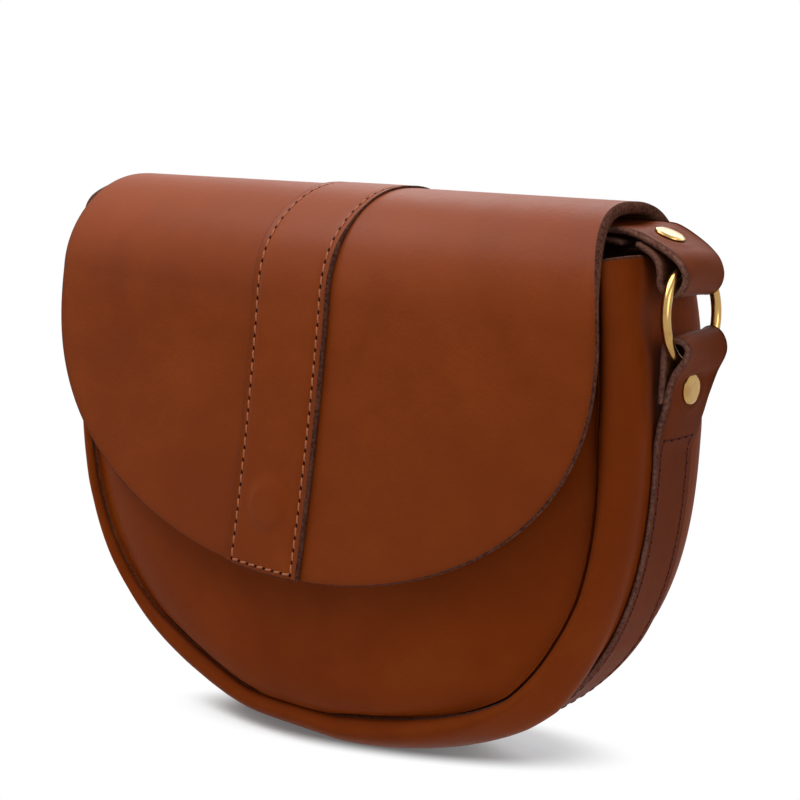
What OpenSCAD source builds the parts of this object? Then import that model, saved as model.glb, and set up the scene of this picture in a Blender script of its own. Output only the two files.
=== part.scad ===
// Saddle handbag: a D-shaped leather pouch under a wide flap that folds over from the back.
// X runs across the bag, the front faces -Y and Z is up. The origin is under the bag, at the
// middle of the strap that the bag stands on.

/* [Pouch] */
// Half the width across the two seams at the widest level
pouch_half_w = 123.6; // [115:0.2:132]
// How far the widest level lies below the crown
widest_drop = 75; // [70:0.5:80]
// How far the pouch's mouth lies below the crown
mouth_drop = 16; // [15:0.5:20]
// How much each side draws in between the widest level and the mouth
mouth_draw_in = 8; // [4:0.5:9]
// Distance from the strap's middle plane to the front seam
front_seam_y = 31; // [29:0.5:32]
// Distance from the strap's middle plane to the back seam
back_seam_y = 28; // [26:0.5:28.5]
// How far the front seam moves forward at the bottom
front_seam_lean = 3.5; // [0:0.5:5]
// How far both seams draw together at the mouth
mouth_pinch = 2.5; // [2:0.5:5]
// How far the front panel swells in front of its seam
front_puff = 10.5; // [8:0.5:11]
// How far the back panel swells behind its seam
back_puff = 4; // [2:0.5:4]
// How far the gusset stands out beyond the seams at the widest level
gusset_bulge = 7.3; // [6.5:0.1:8]
// How far it hangs below them at the bottom
gusset_sag = 12.4; // [11:0.1:13]
// Gusset bulge behind the rings, where the strap ends press it in
gusset_pressed = 6.2; // [5:0.1:6.4]

/* [Leather] */
// Thickness of the panels and the gusset
panel_t = 2.4; // [1.8:0.1:2.6]
// Thickness of the flap
flap_t = 3; // [2.6:0.1:3.2]
// Thickness of the straps
strap_t = 2.4; // [2:0.1:2.4]

/* [Flap] */
// Height of the crown, where the flap folds over the bag
crown_h = 207.1; // [180.1:1:240.1]
// Half the flap's width at the crown
crown_half_w = 110; // [104:1:112]
// Half the flap's width at its widest
flap_half_w = 126; // [120:1:130]
// How far the flap's widest level lies below the crown
flap_widest_drop = 50; // [46:0.5:58]
// How far the flap hangs down in front, from the crown to its lowest point
flap_drop = 138.6; // [125:0.2:150]
// How far below the crown the flat front runs into the fold
front_spring_drop = 40; // [38:0.5:44]
// Outer face of the flap's front, at the spring of the fold
flap_front_y = 41.5; // [41:0.5:44]
// How far the flap's front stands further out at its lowest point
flap_flare = 9.6; // [9:0.2:12]
// How far below the crown the flap's crease lies at the back, where it turns
hinge_drop = 45; // [43:0.5:48]
// How far inside the pouch's seams the crease ends on each side
hinge_inset = 9.6; // [8:0.2:14]
// How far the flap's sewn lap reaches below the crease
lap_drop = 29; // [20:1:40]

/* [Flap band] */
// Width of the band sewn down the middle of the flap
band_w = 35; // [28:1:42]
// Thickness of the band
band_t = 2.6; // [2:0.1:3]
// How far above the crease the band ends at the back
band_end_rise = 13; // [10:1:20]

/* [Rings] */
// Inner radius of a ring
ring_inner_r = 14.75; // [14.5:0.25:15.5]
// Wire diameter of a ring
ring_wire = 3.4; // [3:0.1:3.5]
// How far the wire's middle stands out beyond the widest seam, where a ring hangs in its lower loop
ring_stand_off = 12.4; // [12:0.1:12.9]
// Lean of the right ring, towards the bag when negative
right_lean = -5; // [-6:1:4]
// Lean of the left ring
left_lean = 11; // [0:1:12]

/* [Straps] */
// Width of the gusset strap and of the shoulder strap
strap_w = 24; // [20:0.5:24.5]
// Free width inside the lower loop, at the ring's lowest point
eye_w = 4.75; // [4.7:0.05:5]
// Free width inside the lower loop, at its top
eye_top_w = 5.9; // [5.8:0.1:6.4]
// Room between the ring's wire and the strap's tail behind it
tail_room = 0.75; // [0.7:0.05:1]
// Free height over the wire inside the lower loop
eye_spare_h = 3.1; // [2:0.1:4]
// How far below a ring's lowest point the gusset strap leaves the gusset
strap_leave_drop = 26.8; // [23:0.2:31]
// How far below the crown the middle of the strap end runs in under the flap
strap_drop = 7.2; // [7:0.1:7.6]
// How far the strap end's level lies above the middle of the ring's upper wire
strap_rise = 9.225; // [9:0.075:9.6]
// How many times the tucked-in strap crosses the floor of the pouch, an odd number
strap_layers = 5; // [1:2:5]

/* [Rivets] */
// Radius of a rivet's outer cap
cap_r = 5.2; // [4.5:0.1:5.5]
// Height of the outer cap
cap_h = 1.1; // [0.8:0.1:1.4]
// Radius of the flange on a rivet's post
post_flange_r = 3.9; // [3.5:0.1:4]
// Radius of a rivet's shank
shank_r = 1.6; // [1.3:0.1:1.9]

/* [Snap] */
// How far above the flap's lowest point the magnetic snap sits
snap_rise = 24.6; // [19:0.2:36]
// Radius of the two halves of the snap
snap_r = 8.5; // [7:0.5:9.5]
// Share of the room between panel and flap that the socket half takes
socket_share = 0.448; // [0.4:0.004:0.46]
// Radius of the hole in the socket half
socket_bore_r = 4.6; // [4.4:0.1:5]

/* [Hidden] */
$fn = 48;

chestnut = [0.47, 0.24, 0.13];
dark_chestnut = [0.38, 0.19, 0.11];
brass = [0.80, 0.66, 0.36];
steel = [0.62, 0.62, 0.64];

// Clearances: between two layers of leather, between a strap and its tail, round a rivet's shank
// and at a seam
lay_gap = 0.1;
tail_gap = 0.3;
shank_gap = 0.05;
seam_gap = 0.1;
running_gap = 0.3;
overrun = 1;

// Heights, all measured up from the ground through the crown
widest_h = crown_h - widest_drop;
mouth_h = crown_h - mouth_drop;
flap_widest_h = crown_h - flap_widest_drop;
flap_low_h = crown_h - flap_drop;
front_spring_h = crown_h - front_spring_drop;
flap_hinge_h = crown_h - hinge_drop;
strap_level_h = crown_h - strap_drop;
snap_h = flap_low_h + snap_rise;
hinge_half_w = pouch_half_w - hinge_inset;
ring_r = ring_inner_r + ring_wire / 2;
ring_seat_x = pouch_half_w + ring_stand_off;
ring_seat_h = strap_level_h - strap_rise - 2 * ring_r * cos(right_lean);
strap_leave_h = ring_seat_h - strap_leave_drop;

// The pouch's seam line runs from the floor through a superellipse to the widest level and then
// draws in a little towards the mouth. It is flat where the bag stands.
seam_floor = gusset_sag + lay_gap + strap_t;
floor_flat = 0.8;
seam_x_share = 2.2;
seam_z_share = 2.6;
bottom_steps = 18;
side_steps = 5;
function seam_low(a) = [
    pouch_half_w * pow(cos(a), 2 / seam_x_share),
    max(seam_floor, widest_h - (widest_h - seam_floor + floor_flat) * pow(sin(a), 2 / seam_z_share))];
function seam_high(s) = [pouch_half_w - mouth_draw_in * s * s, widest_h + (mouth_h - widest_h) * s];
right_seam = concat(
    [for (k = [1:bottom_steps]) seam_low(90 - 90 * k / bottom_steps)],
    [for (k = [1:side_steps]) seam_high(k / side_steps)]);
function reversed(list) = [for (i = [len(list) - 1:-1:0]) list[i]];
function flipped(list) = [for (p = list) [-p[0], p[1]]];
function mirrored(list) = reversed(flipped(list));
whole_seam = concat(mirrored(right_seam), right_seam);

// Front and back seam planes, and the swell of the two panels, by height
function above(z, start, end) = pow(max(0, z - start) / (end - start), 2);
function front_y(z) = -front_seam_y - front_seam_lean * pow(max(0, widest_h - z) / widest_h, 2)
    + mouth_pinch * above(z, flap_widest_h, mouth_h);
function back_y(z) = back_seam_y - (mouth_pinch + flap_t * 0.65) * above(z, flap_widest_h, mouth_h);
front_swell_share = 0.62;
edge_share = 4;
back_edge_share = 6;
function height_share(z) = min(1, max(0, (z - seam_floor) / (mouth_h - seam_floor)));
function front_face(u, z) = front_y(z)
    - front_puff * sqrt(max(0, sin(180 * pow(height_share(z), front_swell_share))))
        * (1 - pow(abs(u), edge_share));
function back_face(u, z) = back_y(z)
    + (back_puff - panel_t / 2 * above(z, flap_widest_h, mouth_h))
        * sqrt(sin(90 * min(1, 3 * height_share(z)))) * (1 - pow(abs(u), back_edge_share));

// Small helpers on 2D routes: direction at a point, a parallel route, and a strap of one thickness
function unit(v) = v / norm(v);
function heading(c, i) = unit(c[min(i + 1, len(c) - 1)] - c[max(i - 1, 0)]);
function outward(c, i) = [heading(c, i)[1], -heading(c, i)[0]];
function beside(c, d) = [for (i = [0:len(c) - 1]) c[i] + d * outward(c, i)];
function ribbon(c, t) = concat(beside(c, t / 2), reversed(beside(c, -t / 2)));
function curve_point(a, b, c, d, s) =
    (2 * b + (c - a) * s + (2 * a - 5 * b + 4 * c - d) * s * s + (3 * b - a - 3 * c + d) * s * s * s) / 2;
// A smooth route through the given points, each stretch cut in n steps
function smooth(p, n) = concat(
    [for (i = [0:len(p) - 2]) for (k = [0:n - 1])
        curve_point(p[max(i - 1, 0)], p[i], p[i + 1], p[min(i + 2, len(p) - 1)], k / n)],
    [p[len(p) - 1]]);
function arc(centre, r, from, to, n) =
    [for (k = [0:n]) centre + r * [cos(from + (to - from) * k / n), sin(from + (to - from) * k / n)]];
function route_length(c) = let (steps = [for (i = [1:len(c) - 1]) norm(c[i] - c[i - 1])])
    steps * [for (s = steps) 1];

// A closed leather shell between an outer and an inner grid of points
module shell(outer, inner) {
    rows = len(outer);
    cols = len(outer[0]);
    back = rows * cols;
    function at(i, j) = i * cols + j;
    points = concat([for (row = outer) each row], [for (row = inner) each row]);
    skin = [for (i = [0:rows - 2]) for (j = [0:cols - 2])
        each [[at(i, j), at(i + 1, j), at(i + 1, j + 1)], [at(i, j), at(i + 1, j + 1), at(i, j + 1)]]];
    lining = [for (f = skin) [f[2] + back, f[1] + back, f[0] + back]];
    rim = concat(
        [for (j = [0:cols - 2]) [at(0, j), at(0, j + 1)]],
        [for (i = [0:rows - 2]) [at(i, cols - 1), at(i + 1, cols - 1)]],
        [for (j = [cols - 1:-1:1]) [at(rows - 1, j), at(rows - 1, j - 1)]],
        [for (i = [rows - 1:-1:1]) [at(i, 0), at(i - 1, 0)]]);
    edge = [for (e = rim) each [[e[0], e[1], e[1] + back], [e[0], e[1] + back, e[0] + back]]];
    polyhedron(points, concat(skin, lining, edge), convexity = 10);
}

// A 2D outline in X and Z, given its width along Y about y = 0
module across(width) {
    translate([0, width / 2, 0])
        rotate([90, 0, 0])
            linear_extrude(width)
                children();
}

// Pouch
panel_cols = 16;
function spread(j, n) = sin(90 * (2 * j / n - 1));
function inset(p) = p[0] - seam_gap;

module front_panel() {
    outer = [for (p = right_seam) [for (j = [0:panel_cols])
        let (u = spread(j, panel_cols)) [u * inset(p), front_face(u, p[1]), p[1]]]];
    inner = [for (p = right_seam) [for (j = [0:panel_cols])
        let (u = spread(j, panel_cols)) [u * inset(p), front_face(u, p[1]) + panel_t, p[1]]]];
    color(chestnut)
        difference() {
            shell(outer, inner);
            at_snap(-socket_neck_l - overrun)
                cylinder(r = snap_neck_r + shank_gap, h = socket_neck_l + overrun + snap_reach);
        }
}

module back_panel() {
    outer = [for (p = right_seam) [for (j = [0:panel_cols])
        let (u = spread(j, panel_cols)) [u * inset(p), back_face(u, p[1]), p[1]]]];
    inner = [for (p = right_seam) [for (j = [0:panel_cols])
        let (u = spread(j, panel_cols)) [u * inset(p), back_face(u, p[1]) - panel_t, p[1]]]];
    color(chestnut) shell(inner, outer);
}

// The gusset: one strip from mouth to mouth round the bottom, swelling out between the seams like
// a roll. It is flat under the strap and pressed in behind the rings.
gusset_round_share = 4;
gusset_cols = 16;
press_h = 15;
function ease(s) = let (c = min(1, max(0, s))) c * c * (3 - 2 * c);
sag_share = 1.7;
function bulge_at(z) = gusset_bulge - (gusset_bulge - gusset_pressed) * ease((z - strap_leave_h) / press_h)
    + (gusset_sag - gusset_bulge) * pow(max(0, widest_h - z) / (widest_h - seam_floor), sag_share);
function gusset_section(z, depth) = let (
    low = front_y(z) + depth, high = back_y(z) - depth, full = bulge_at(z) * 1.04 - depth)
    [for (j = [0:gusset_cols]) let (a = -90 + 180 * j / gusset_cols,
        w = sign(a) * pow(abs(sin(a)), 2 / gusset_round_share))
        [(low + high) / 2 + (high - low) / 2 * w, min(bulge_at(z) - depth, full * cos(a))]];
function seam_out(i) = whole_seam[i][1] <= seam_floor ? [0, -1] : outward(whole_seam, i);
function gusset_grid(depth) = [for (i = [0:len(whole_seam) - 1])
    [for (q = gusset_section(whole_seam[i][1], depth)) let (p = whole_seam[i] + q[1] * seam_out(i))
        [p[0], q[0], p[1]]]];

module gusset() {
    color(chestnut) shell(gusset_grid(0), gusset_grid(panel_t));
}

// Rings and their seats. A ring turns about the middle of its wire at its lowest point.
right_seat = [ring_seat_x, ring_seat_h];
chord_rise = ring_r - sqrt(pow(ring_r, 2) - pow(strap_w / 2, 2));
bar_depth = ring_r - sqrt(pow(ring_inner_r, 2) - pow(strap_w / 2, 2));
function ring_top(lean) = right_seat + 2 * ring_r * [sin(lean), cos(lean)];

module ring(lean) {
    translate([ring_seat_x, 0, ring_seat_h])
        rotate([0, lean, 0])
            translate([0, 0, ring_r])
                rotate([0, 90, 0])
                    rotate_extrude($fn = 96)
                        translate([ring_r, 0])
                            circle(d = ring_wire, $fn = 32);
}

module ring_right() {
    color(brass) ring(right_lean);
}

module ring_left() {
    color(brass)
        mirror([1, 0, 0])
            ring(left_lean);
}

// The gusset strap: sewn along the gusset from side to side under the bag. Each end turns over a
// ring's lower bar from the outside and comes back down behind itself, where a rivet holds it.
tail_x = ring_seat_x - ring_wire / 2 - tail_room - strap_t / 2;
loop_r = eye_top_w / 2 + strap_t / 2;
loop_centre = [tail_x + loop_r, ring_seat_h + chord_rise + ring_wire / 2 + eye_spare_h - eye_top_w / 2];
lay_x = tail_x + strap_t + tail_gap;
loop_rivet_h = ring_seat_h - ring_wire / 2 - cap_r * 1.13;
hold_h = cap_r * 0.28;
tail_end_h = loop_rivet_h - cap_r + ring_wire / 4;
function over_gusset(i, d) = whole_seam[i] + (bulge_at(whole_seam[i][1]) + d) * seam_out(i);
sewn_half = [for (i = [0:len(whole_seam) - 1]) if (whole_seam[i][0] > 0 && whole_seam[i][1] < strap_leave_h)
    over_gusset(i, lay_gap + strap_t / 2)];
eye_out_x = tail_x + eye_w + strap_t;
bend_r = strap_t;
bend_angle = 50;
bend_side = eye_out_x - lay_x;
bend_rise = 2 * bend_r * sin(bend_angle)
    + (bend_side - 2 * bend_r * (1 - cos(bend_angle))) / tan(bend_angle);
loop_half = concat(
    smooth([sewn_half[len(sewn_half) - 2], sewn_half[len(sewn_half) - 1],
        [lay_x - (lay_x - sewn_half[len(sewn_half) - 1][0]) * 0.45,
            (strap_leave_h + loop_rivet_h - cap_r) / 2],
        [lay_x, loop_rivet_h - cap_r * 0.8],
        [lay_x, loop_rivet_h]], 4),
    arc([lay_x + bend_r, loop_rivet_h + hold_h], bend_r, 180, 180 - bend_angle, 3),
    arc([eye_out_x - bend_r, loop_rivet_h + hold_h + bend_rise], bend_r, -bend_angle, 0, 3),
    arc(loop_centre, loop_r, 0, 180, 12),
    [[tail_x, loop_rivet_h], [tail_x, tail_end_h]]);
loop_from = 5;
half_route = concat(sewn_half, [for (i = [loop_from:len(loop_half) - 1]) loop_half[i]]);
strap_route = concat(mirrored(half_route), half_route);

module gusset_strap() {
    color(dark_chestnut)
        difference() {
            across(strap_w) polygon(ribbon(strap_route, strap_t));
            for (side = [0, 1])
                mirror([side, 0, 0])
                    translate([tail_x - strap_t, 0, loop_rivet_h])
                        rotate([0, 90, 0])
                            cylinder(r = shank_r + shank_gap, h = 4 * strap_t);
        }
}

// Rivets: a domed cap on a headed post. Both are drawn on +Z with the leather's outer face at z = 0.
seat_gap = 0.16;
cap_wall = cap_h * 0.45;
tip_r = shank_r * 0.8;
flange_h = cap_h * 0.7;
module rivet_cap() {
    translate([0, 0, seat_gap])
        rotate_extrude()
            polygon([[0, cap_h - cap_wall], [tip_r + shank_gap / 2, cap_h - cap_wall],
                [tip_r + shank_gap / 2, 0], [cap_r * 0.94, 0], [cap_r, cap_h * 0.3],
                [cap_r * 0.97, cap_h * 0.62],
                [cap_r * 0.8, cap_h * 0.93], [cap_r * 0.5, cap_h], [0, cap_h]]);
}

module rivet_post(grip) {
    rotate_extrude()
        polygon([[0, -grip - seat_gap - flange_h], [post_flange_r * 0.85, -grip - seat_gap - flange_h],
            [post_flange_r, -grip - seat_gap - flange_h / 2], [post_flange_r * 0.95, -grip - seat_gap],
            [shank_r, -grip - seat_gap], [shank_r, 0], [tip_r, shank_gap],
            [tip_r, seat_gap + cap_h - cap_wall - shank_gap], [0, seat_gap + cap_h - cap_wall - shank_gap]]);
}

loop_grip = 2 * strap_t + tail_gap;
module at_loop_rivets() {
    for (side = [0, 1])
        mirror([side, 0, 0])
            translate([lay_x + strap_t / 2, 0, loop_rivet_h])
                rotate([0, 90, 0])
                    children();
}

module loop_rivet_caps() {
    color(brass)
        at_loop_rivets()
            rivet_cap();
}

module loop_rivet_posts() {
    color(brass)
        at_loop_rivets()
            rivet_post(loop_grip);
}

// A strap end: the shoulder strap comes out from under the flap, bends down round the ring's top
// bar and returns under itself, where a rivet holds it. It is drawn for the right ring.
top_seat = ring_top(right_lean);
eye_low_w = ring_wire * 1.9;
eye_low_r = (eye_low_w + strap_t) / 2;
eye_low = [top_seat[0] - ring_wire * 0.02,
    top_seat[1] - bar_depth - 2 * running_gap + eye_low_w / 2];
over_wire = ring_wire / 2 + running_gap + strap_t * 0.62;
crest = [top_seat[0] - ring_r * 1.22, strap_level_h];
strap_rivet = [top_seat[0] - cap_r * 1.76, strap_level_h - (strap_level_h - top_seat[1] - over_wire) * 0.36];
rivet_slope = 20;
along = [cos(rivet_slope), -sin(rivet_slope)];
down = [-sin(rivet_slope), -cos(rivet_slope)];
lay_step = strap_t + tail_gap;
strap_tip_x = crest[0] - cap_r * 4.1;
upper_route = smooth([[strap_tip_x, strap_level_h], [crest[0] - cap_r, strap_level_h], crest,
    strap_rivet - cap_r * 0.9 * along, strap_rivet - cap_r * 0.3 * along,
    strap_rivet + cap_r * 0.3 * along, strap_rivet + cap_r * 0.85 * along,
    [top_seat[0] - ring_wire * 0.3, top_seat[1] + over_wire + strap_t * 0.12],
    [eye_low[0] + eye_low_r * 0.72, top_seat[1] + over_wire - strap_t * 0.62],
    [eye_low[0] + eye_low_r, eye_low[1] + strap_t * 0.75]], 4);
tail_lay = [for (i = [24:-1:12]) upper_route[i] + lay_step * outward(upper_route, i)];
end_route = concat(upper_route,
    arc(eye_low, eye_low_r, -8, -180, 11),
    [for (p = smooth([[eye_low[0] - eye_low_r, eye_low[1] + strap_t * 0.6],
        [eye_low[0] - eye_low_r * 1.2, eye_low[1] + strap_t * 1.9],
        tail_lay[0], tail_lay[4]], 4)) if (p[0] > tail_lay[0][0]) p],
    tail_lay);

module at_strap_rivet() {
    translate([strap_rivet[0], 0, strap_rivet[1]] - strap_t / 2 * [down[0], 0, down[1]])
        rotate([0, rivet_slope, 0])
            children();
}

module strap_end() {
    difference() {
        across(strap_w) polygon(ribbon(end_route, strap_t));
        at_strap_rivet()
            translate([0, 0, -loop_grip - strap_t])
                cylinder(r = shank_r + shank_gap, h = loop_grip + 2 * strap_t);
    }
}

// The left strap end is the same piece on a ring that leans the other way
lean_slack = ring_wire * 0.15;
left_shift = ring_top(left_lean) - top_seat - [lean_slack, 0];
module on_left() {
    mirror([1, 0, 0])
        translate([left_shift[0], 0, left_shift[1]])
            children();
}

module strap_end_right() {
    color(dark_chestnut) strap_end();
}

module strap_end_left() {
    color(dark_chestnut)
        on_left()
            strap_end();
}

module strap_rivet_cap_right() {
    color(brass)
        at_strap_rivet()
            rivet_cap();
}

module strap_rivet_cap_left() {
    color(brass)
        on_left()
            at_strap_rivet()
                rivet_cap();
}

module strap_rivet_post_right() {
    color(brass)
        at_strap_rivet()
            rivet_post(loop_grip);
}

module strap_rivet_post_left() {
    color(brass)
        on_left()
            at_strap_rivet()
                rivet_post(loop_grip);
}

// The rest of the shoulder strap is tucked away: from under each strap end it drops behind the
// gusset, follows the inside of the gusset, and lies folded on the floor of the pouch.
stow_out = -panel_t - running_gap - strap_t / 2;
stow_gap = strap_t * 1.1;
stow_step = strap_t + stow_gap;
fold_knot = 5;
seam_mid = len(right_seam);
function layer(k) = [for (i = [seam_mid + fold_knot - 1:-1:seam_mid - fold_knot])
    over_gusset(i, stow_out - k * stow_step)];
function fold_at(i, k, side) = let (
    mid = over_gusset(i, stow_out - (k + 0.5) * stow_step), n = seam_out(i), base = atan2(n[1], n[0]))
    [for (q = arc([0, 0], stow_step / 2, base, base + side * 180, 8)) mid + q];
function fold_turn(k) = k % 2 == 0
    ? fold_at(seam_mid - fold_knot, k, -1)
    : fold_at(seam_mid + fold_knot - 1, k, 1);
drop_h = strap_level_h - strap_t - over_wire * 0.42;
drop_r = 3 * strap_t;
drop_x = strap_tip_x + drop_r;
wall_knot = len(whole_seam) - side_steps - 1;
wall_route = [for (i = [wall_knot:-1:seam_mid + fold_knot]) over_gusset(i, stow_out)];
rejoin_knots = 6;
left_wall = [for (i = [seam_mid - fold_knot - 1:-1:len(whole_seam) - 1 - wall_knot])
    over_gusset(i, stow_out - (strap_layers - 1) * stow_step
        * (1 - ease((seam_mid - fold_knot - i) / rejoin_knots)))];
drop_turn = [drop_x, drop_h - drop_r];
drop_shares = [[0.12, 0.22], [0.44, 0.5], [0.76, 0.72], [0.95, 0.88]];
function toward(a, b, s) = [a[0] + (b[0] - a[0]) * s[0], a[1] + (b[1] - a[1]) * s[1]];
drop_route = smooth(concat([[drop_x + 2 * drop_r, drop_h], [drop_x + drop_r * 0.9, drop_h - strap_t * 0.05]],
    [drop_turn], [for (s = drop_shares) toward(drop_turn, wall_route[0], s)], [wall_route[0]]), 5);
stow_route = concat(drop_route, [for (i = [1:len(wall_route) - 1]) wall_route[i]],
    [for (k = [0:strap_layers - 1]) each concat(k % 2 == 0 ? layer(k) : reversed(layer(k)),
        k < strap_layers - 1 ? [for (i = [1:7]) fold_turn(k)[i]] : [])],
    smooth(left_wall, 2), [for (i = [len(drop_route) - 2:-1:0]) [-drop_route[i][0], drop_route[i][1]]]);
strap_length = route_length(stow_route) + 2 * route_length(end_route);
echo(strap_length = strap_length);

module shoulder_strap() {
    color(dark_chestnut)
        across(strap_w) polygon(ribbon(stow_route, strap_t));
}

// The flap's side view, from the crease at the back over the crown and down the front. The fold is
// rounder in front than at the back, and the front leans and curves out towards its lower edge.
front_fold_share = 2.1;
back_fold_share = 2.6;
flap_back_y = back_seam_y + back_puff + running_gap + flap_t;
hinge_y = flap_back_y - flap_t / 2;
fold_steps = 10;
flap_bottom_steps = 12;
function fold_back(a) = [flap_back_y * pow(cos(a), 2 / back_fold_share),
    flap_hinge_h + (crown_h - flap_hinge_h) * pow(sin(a), 2 / back_fold_share)];
function fold_front(a) = [-flap_front_y * pow(sin(a), 2 / front_fold_share),
    front_spring_h + (crown_h - front_spring_h) * pow(cos(a), 2 / front_fold_share)];
function front_out(z) = let (s = (front_spring_h - z) / (front_spring_h - flap_low_h))
    [-flap_front_y - flap_flare * (0.535 * s + 0.465 * s * s), z];
// Half width of the flap by height, in front, at the back and in the rounded lower part
flap_low_x_share = 2;
flap_low_z_share = 2.25;
function neck_half(z) = crown_half_w
    + (hinge_half_w - crown_half_w) * (crown_h - z) / (crown_h - flap_hinge_h);
function upper_half(z) = flap_half_w
    - (flap_half_w - crown_half_w) * pow(max(0, z - flap_widest_h) / (crown_h - flap_widest_h), 2.2);
function lower_z(a) = flap_widest_h - (flap_widest_h - flap_low_h) * pow(sin(a), 2 / flap_low_z_share);
function lower_half(a) = flap_half_w * pow(cos(a), 2 / flap_low_x_share);
// Each row holds the half width and the outer face's place
flap_rows = concat(
    [for (k = [0:fold_steps - 1]) let (p = fold_back(90 * k / fold_steps)) [neck_half(p[1]), p]],
    [for (k = [0:fold_steps - 1]) let (p = fold_front(90 * k / fold_steps)) [upper_half(p[1]), p]],
    [for (k = [0:2]) let (z = front_spring_h - (front_spring_h - flap_widest_h) * k / 2)
        [upper_half(z), front_out(z)]],
    [for (k = [1:flap_bottom_steps]) let (a = 88 * k / flap_bottom_steps)
        [lower_half(a), front_out(lower_z(a))]]);
flap_line = [for (r = flap_rows) r[1]];
flap_cols = 14;
function flap_point(i, d) = flap_line[i] - d * outward(flap_line, i);
function flap_row(i, d) = [for (j = [0:flap_cols]) let (p = flap_point(i, d))
    [spread(j, flap_cols) * flap_rows[i][0], p[0], p[1]]];
// The flap's root is rounded about the crease, so that it turns clear of the lap
function root_row(a, side) = [for (j = [0:flap_cols])
    [spread(j, flap_cols) * hinge_half_w, hinge_y + side * flap_t / 2 * cos(a),
        flap_hinge_h - flap_t / 2 * sin(a)]];
function root_rows(side) = [for (a = [80, 55, 28, 0]) root_row(a, side)];

module flap() {
    last = len(flap_rows) - 1;
    outer = concat(root_rows(1), [for (i = [1:last]) flap_row(i, 0)]);
    inner = concat(root_rows(-1), [for (i = [1:last]) flap_row(i, flap_t)]);
    color(chestnut)
        difference() {
            shell(inner, outer);
            at_snap(washer_seat - lay_gap)
                cylinder(r = snap_r + lay_gap, h = snap_reach);
            at_snap(0)
                cylinder(r = snap_neck_r + shank_gap, h = snap_reach);
        }
}

// The lap: the flap's root below the crease, sewn flat on the back panel. It is skived thin at its
// top, so that the flap can be thrown back over it.
lap_rows = 5;
lap_cols = 12;
function lap_face(u, z) = let (w = ease((z - lap_low_h) / (lap_top_h - lap_low_h)), x = u * hinge_half_w)
    (1 - w) * (back_face(x / (pouch_half_w - seam_gap), z) + lay_gap * 2) + w * (hinge_y - flap_t / 2);
lap_top_h = flap_hinge_h - flap_t / 2 - running_gap;
lap_low_h = flap_hinge_h - lap_drop;
skive_share = 0.4;
function lap_grid(depth) = [for (i = [0:lap_rows]) [for (j = [0:lap_cols])
    let (u = spread(j, lap_cols), z = lap_low_h + (lap_top_h - lap_low_h) * i / lap_rows)
        [u * hinge_half_w, lap_face(u, z) + depth * (i == lap_rows ? skive_share : 1), z]]];
module flap_lap() {
    color(chestnut) shell(lap_grid(0), lap_grid(flap_t));
}

// The band: a strip sewn over the flap, from its lower edge over the crown and down the back
band_cols = 6;
function band_first() = len([for (r = flap_line) if (r[0] > 0 && r[1] < flap_hinge_h + band_end_rise) 1]);
function edge_z(x) = flap_widest_h - (flap_widest_h - flap_low_h)
    * pow(1 - pow(abs(x) / flap_half_w, flap_low_x_share), 1 / flap_low_z_share);
low_row = len(flap_rows) - 3;
function band_row(i, d) = [for (j = [0:band_cols]) let (p = flap_point(i, -d))
    [band_w * (j / band_cols - 0.5), p[0], p[1]]];
function band_foot(s, d) = [for (j = [0:band_cols]) let (x = band_w * (j / band_cols - 0.5),
    z = flap_line[low_row][1] * (1 - s) + edge_z(x) * s) [x, front_out(z)[0] - d, z]];
function band_grid(d) = concat([for (i = [band_first():low_row]) band_row(i, d)],
    [for (s = [0.5, 1]) band_foot(s, d)]);
module flap_band() {
    color(chestnut) shell(band_grid(lay_gap), band_grid(lay_gap + band_t));
}

// Magnetic snap. Its axis stands midway between the flap's slope and the panel's slope, and all
// its pieces are placed along that axis from the panel's face, outwards.
function lean_of(low_y, high_y) = atan((high_y - low_y) / (2 * snap_r));
panel_lean = lean_of(front_face(0, snap_h - snap_r), front_face(0, snap_h + snap_r));
flap_lean = lean_of(front_out(snap_h - snap_r)[0], front_out(snap_h + snap_r)[0]);
snap_lean = (panel_lean + flap_lean) / 2;
panel_face_y = front_face(0, snap_h);
flap_inner_y = front_out(snap_h)[0] + flap_t;
snap_room = panel_face_y - flap_inner_y;
slope_gap = snap_r * sin(abs(flap_lean - panel_lean) / 2) + lay_gap;
socket_h = snap_room * socket_share;
stud_h = snap_room - 2 * slope_gap - socket_h - running_gap;
stud_out = snap_room - slope_gap;
nub_h = socket_h * 0.7;
snap_neck_r = snap_r * 0.24;
washer_t = cap_h * 0.45;
washer_seat = snap_room + flap_t - slope_gap - washer_t - lay_gap;
socket_neck_l = panel_t + lay_gap + slope_gap;
snap_reach = snap_room + flap_t * 2;
module at_snap(out) {
    translate([0, panel_face_y, snap_h])
        rotate([90 - snap_lean, 0, 0])
            translate([0, 0, out])
                children();
}

module snap_socket() {
    color(brass)
        difference() {
            union() {
                at_snap(slope_gap)
                    rotate_extrude()
                        polygon([[0, 0], [snap_r, 0], [snap_r, socket_h * 0.7],
                            [snap_r - socket_h * 0.3, socket_h], [0, socket_h]]);
                at_snap(-socket_neck_l)
                    cylinder(r = snap_neck_r, h = socket_neck_l + slope_gap + socket_h * 0.2);
            }
            at_snap(slope_gap + socket_h * 0.2)
                difference() {
                    cylinder(r = snap_r * 0.84, h = socket_h * 0.55);
                    translate([0, 0, -socket_h])
                        cylinder(r = socket_bore_r + cap_wall, h = 3 * socket_h);
                }
            at_snap(slope_gap + socket_h * 0.25)
                cylinder(r = socket_bore_r, h = socket_h);
        }
}

module snap_magnet() {
    color(steel)
        at_snap(slope_gap + socket_h * 0.22)
            difference() {
                cylinder(r = snap_r * 0.83, h = socket_h * 0.5);
                translate([0, 0, -socket_h])
                    cylinder(r = socket_bore_r + cap_wall + shank_gap, h = 3 * socket_h);
            }
}

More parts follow.
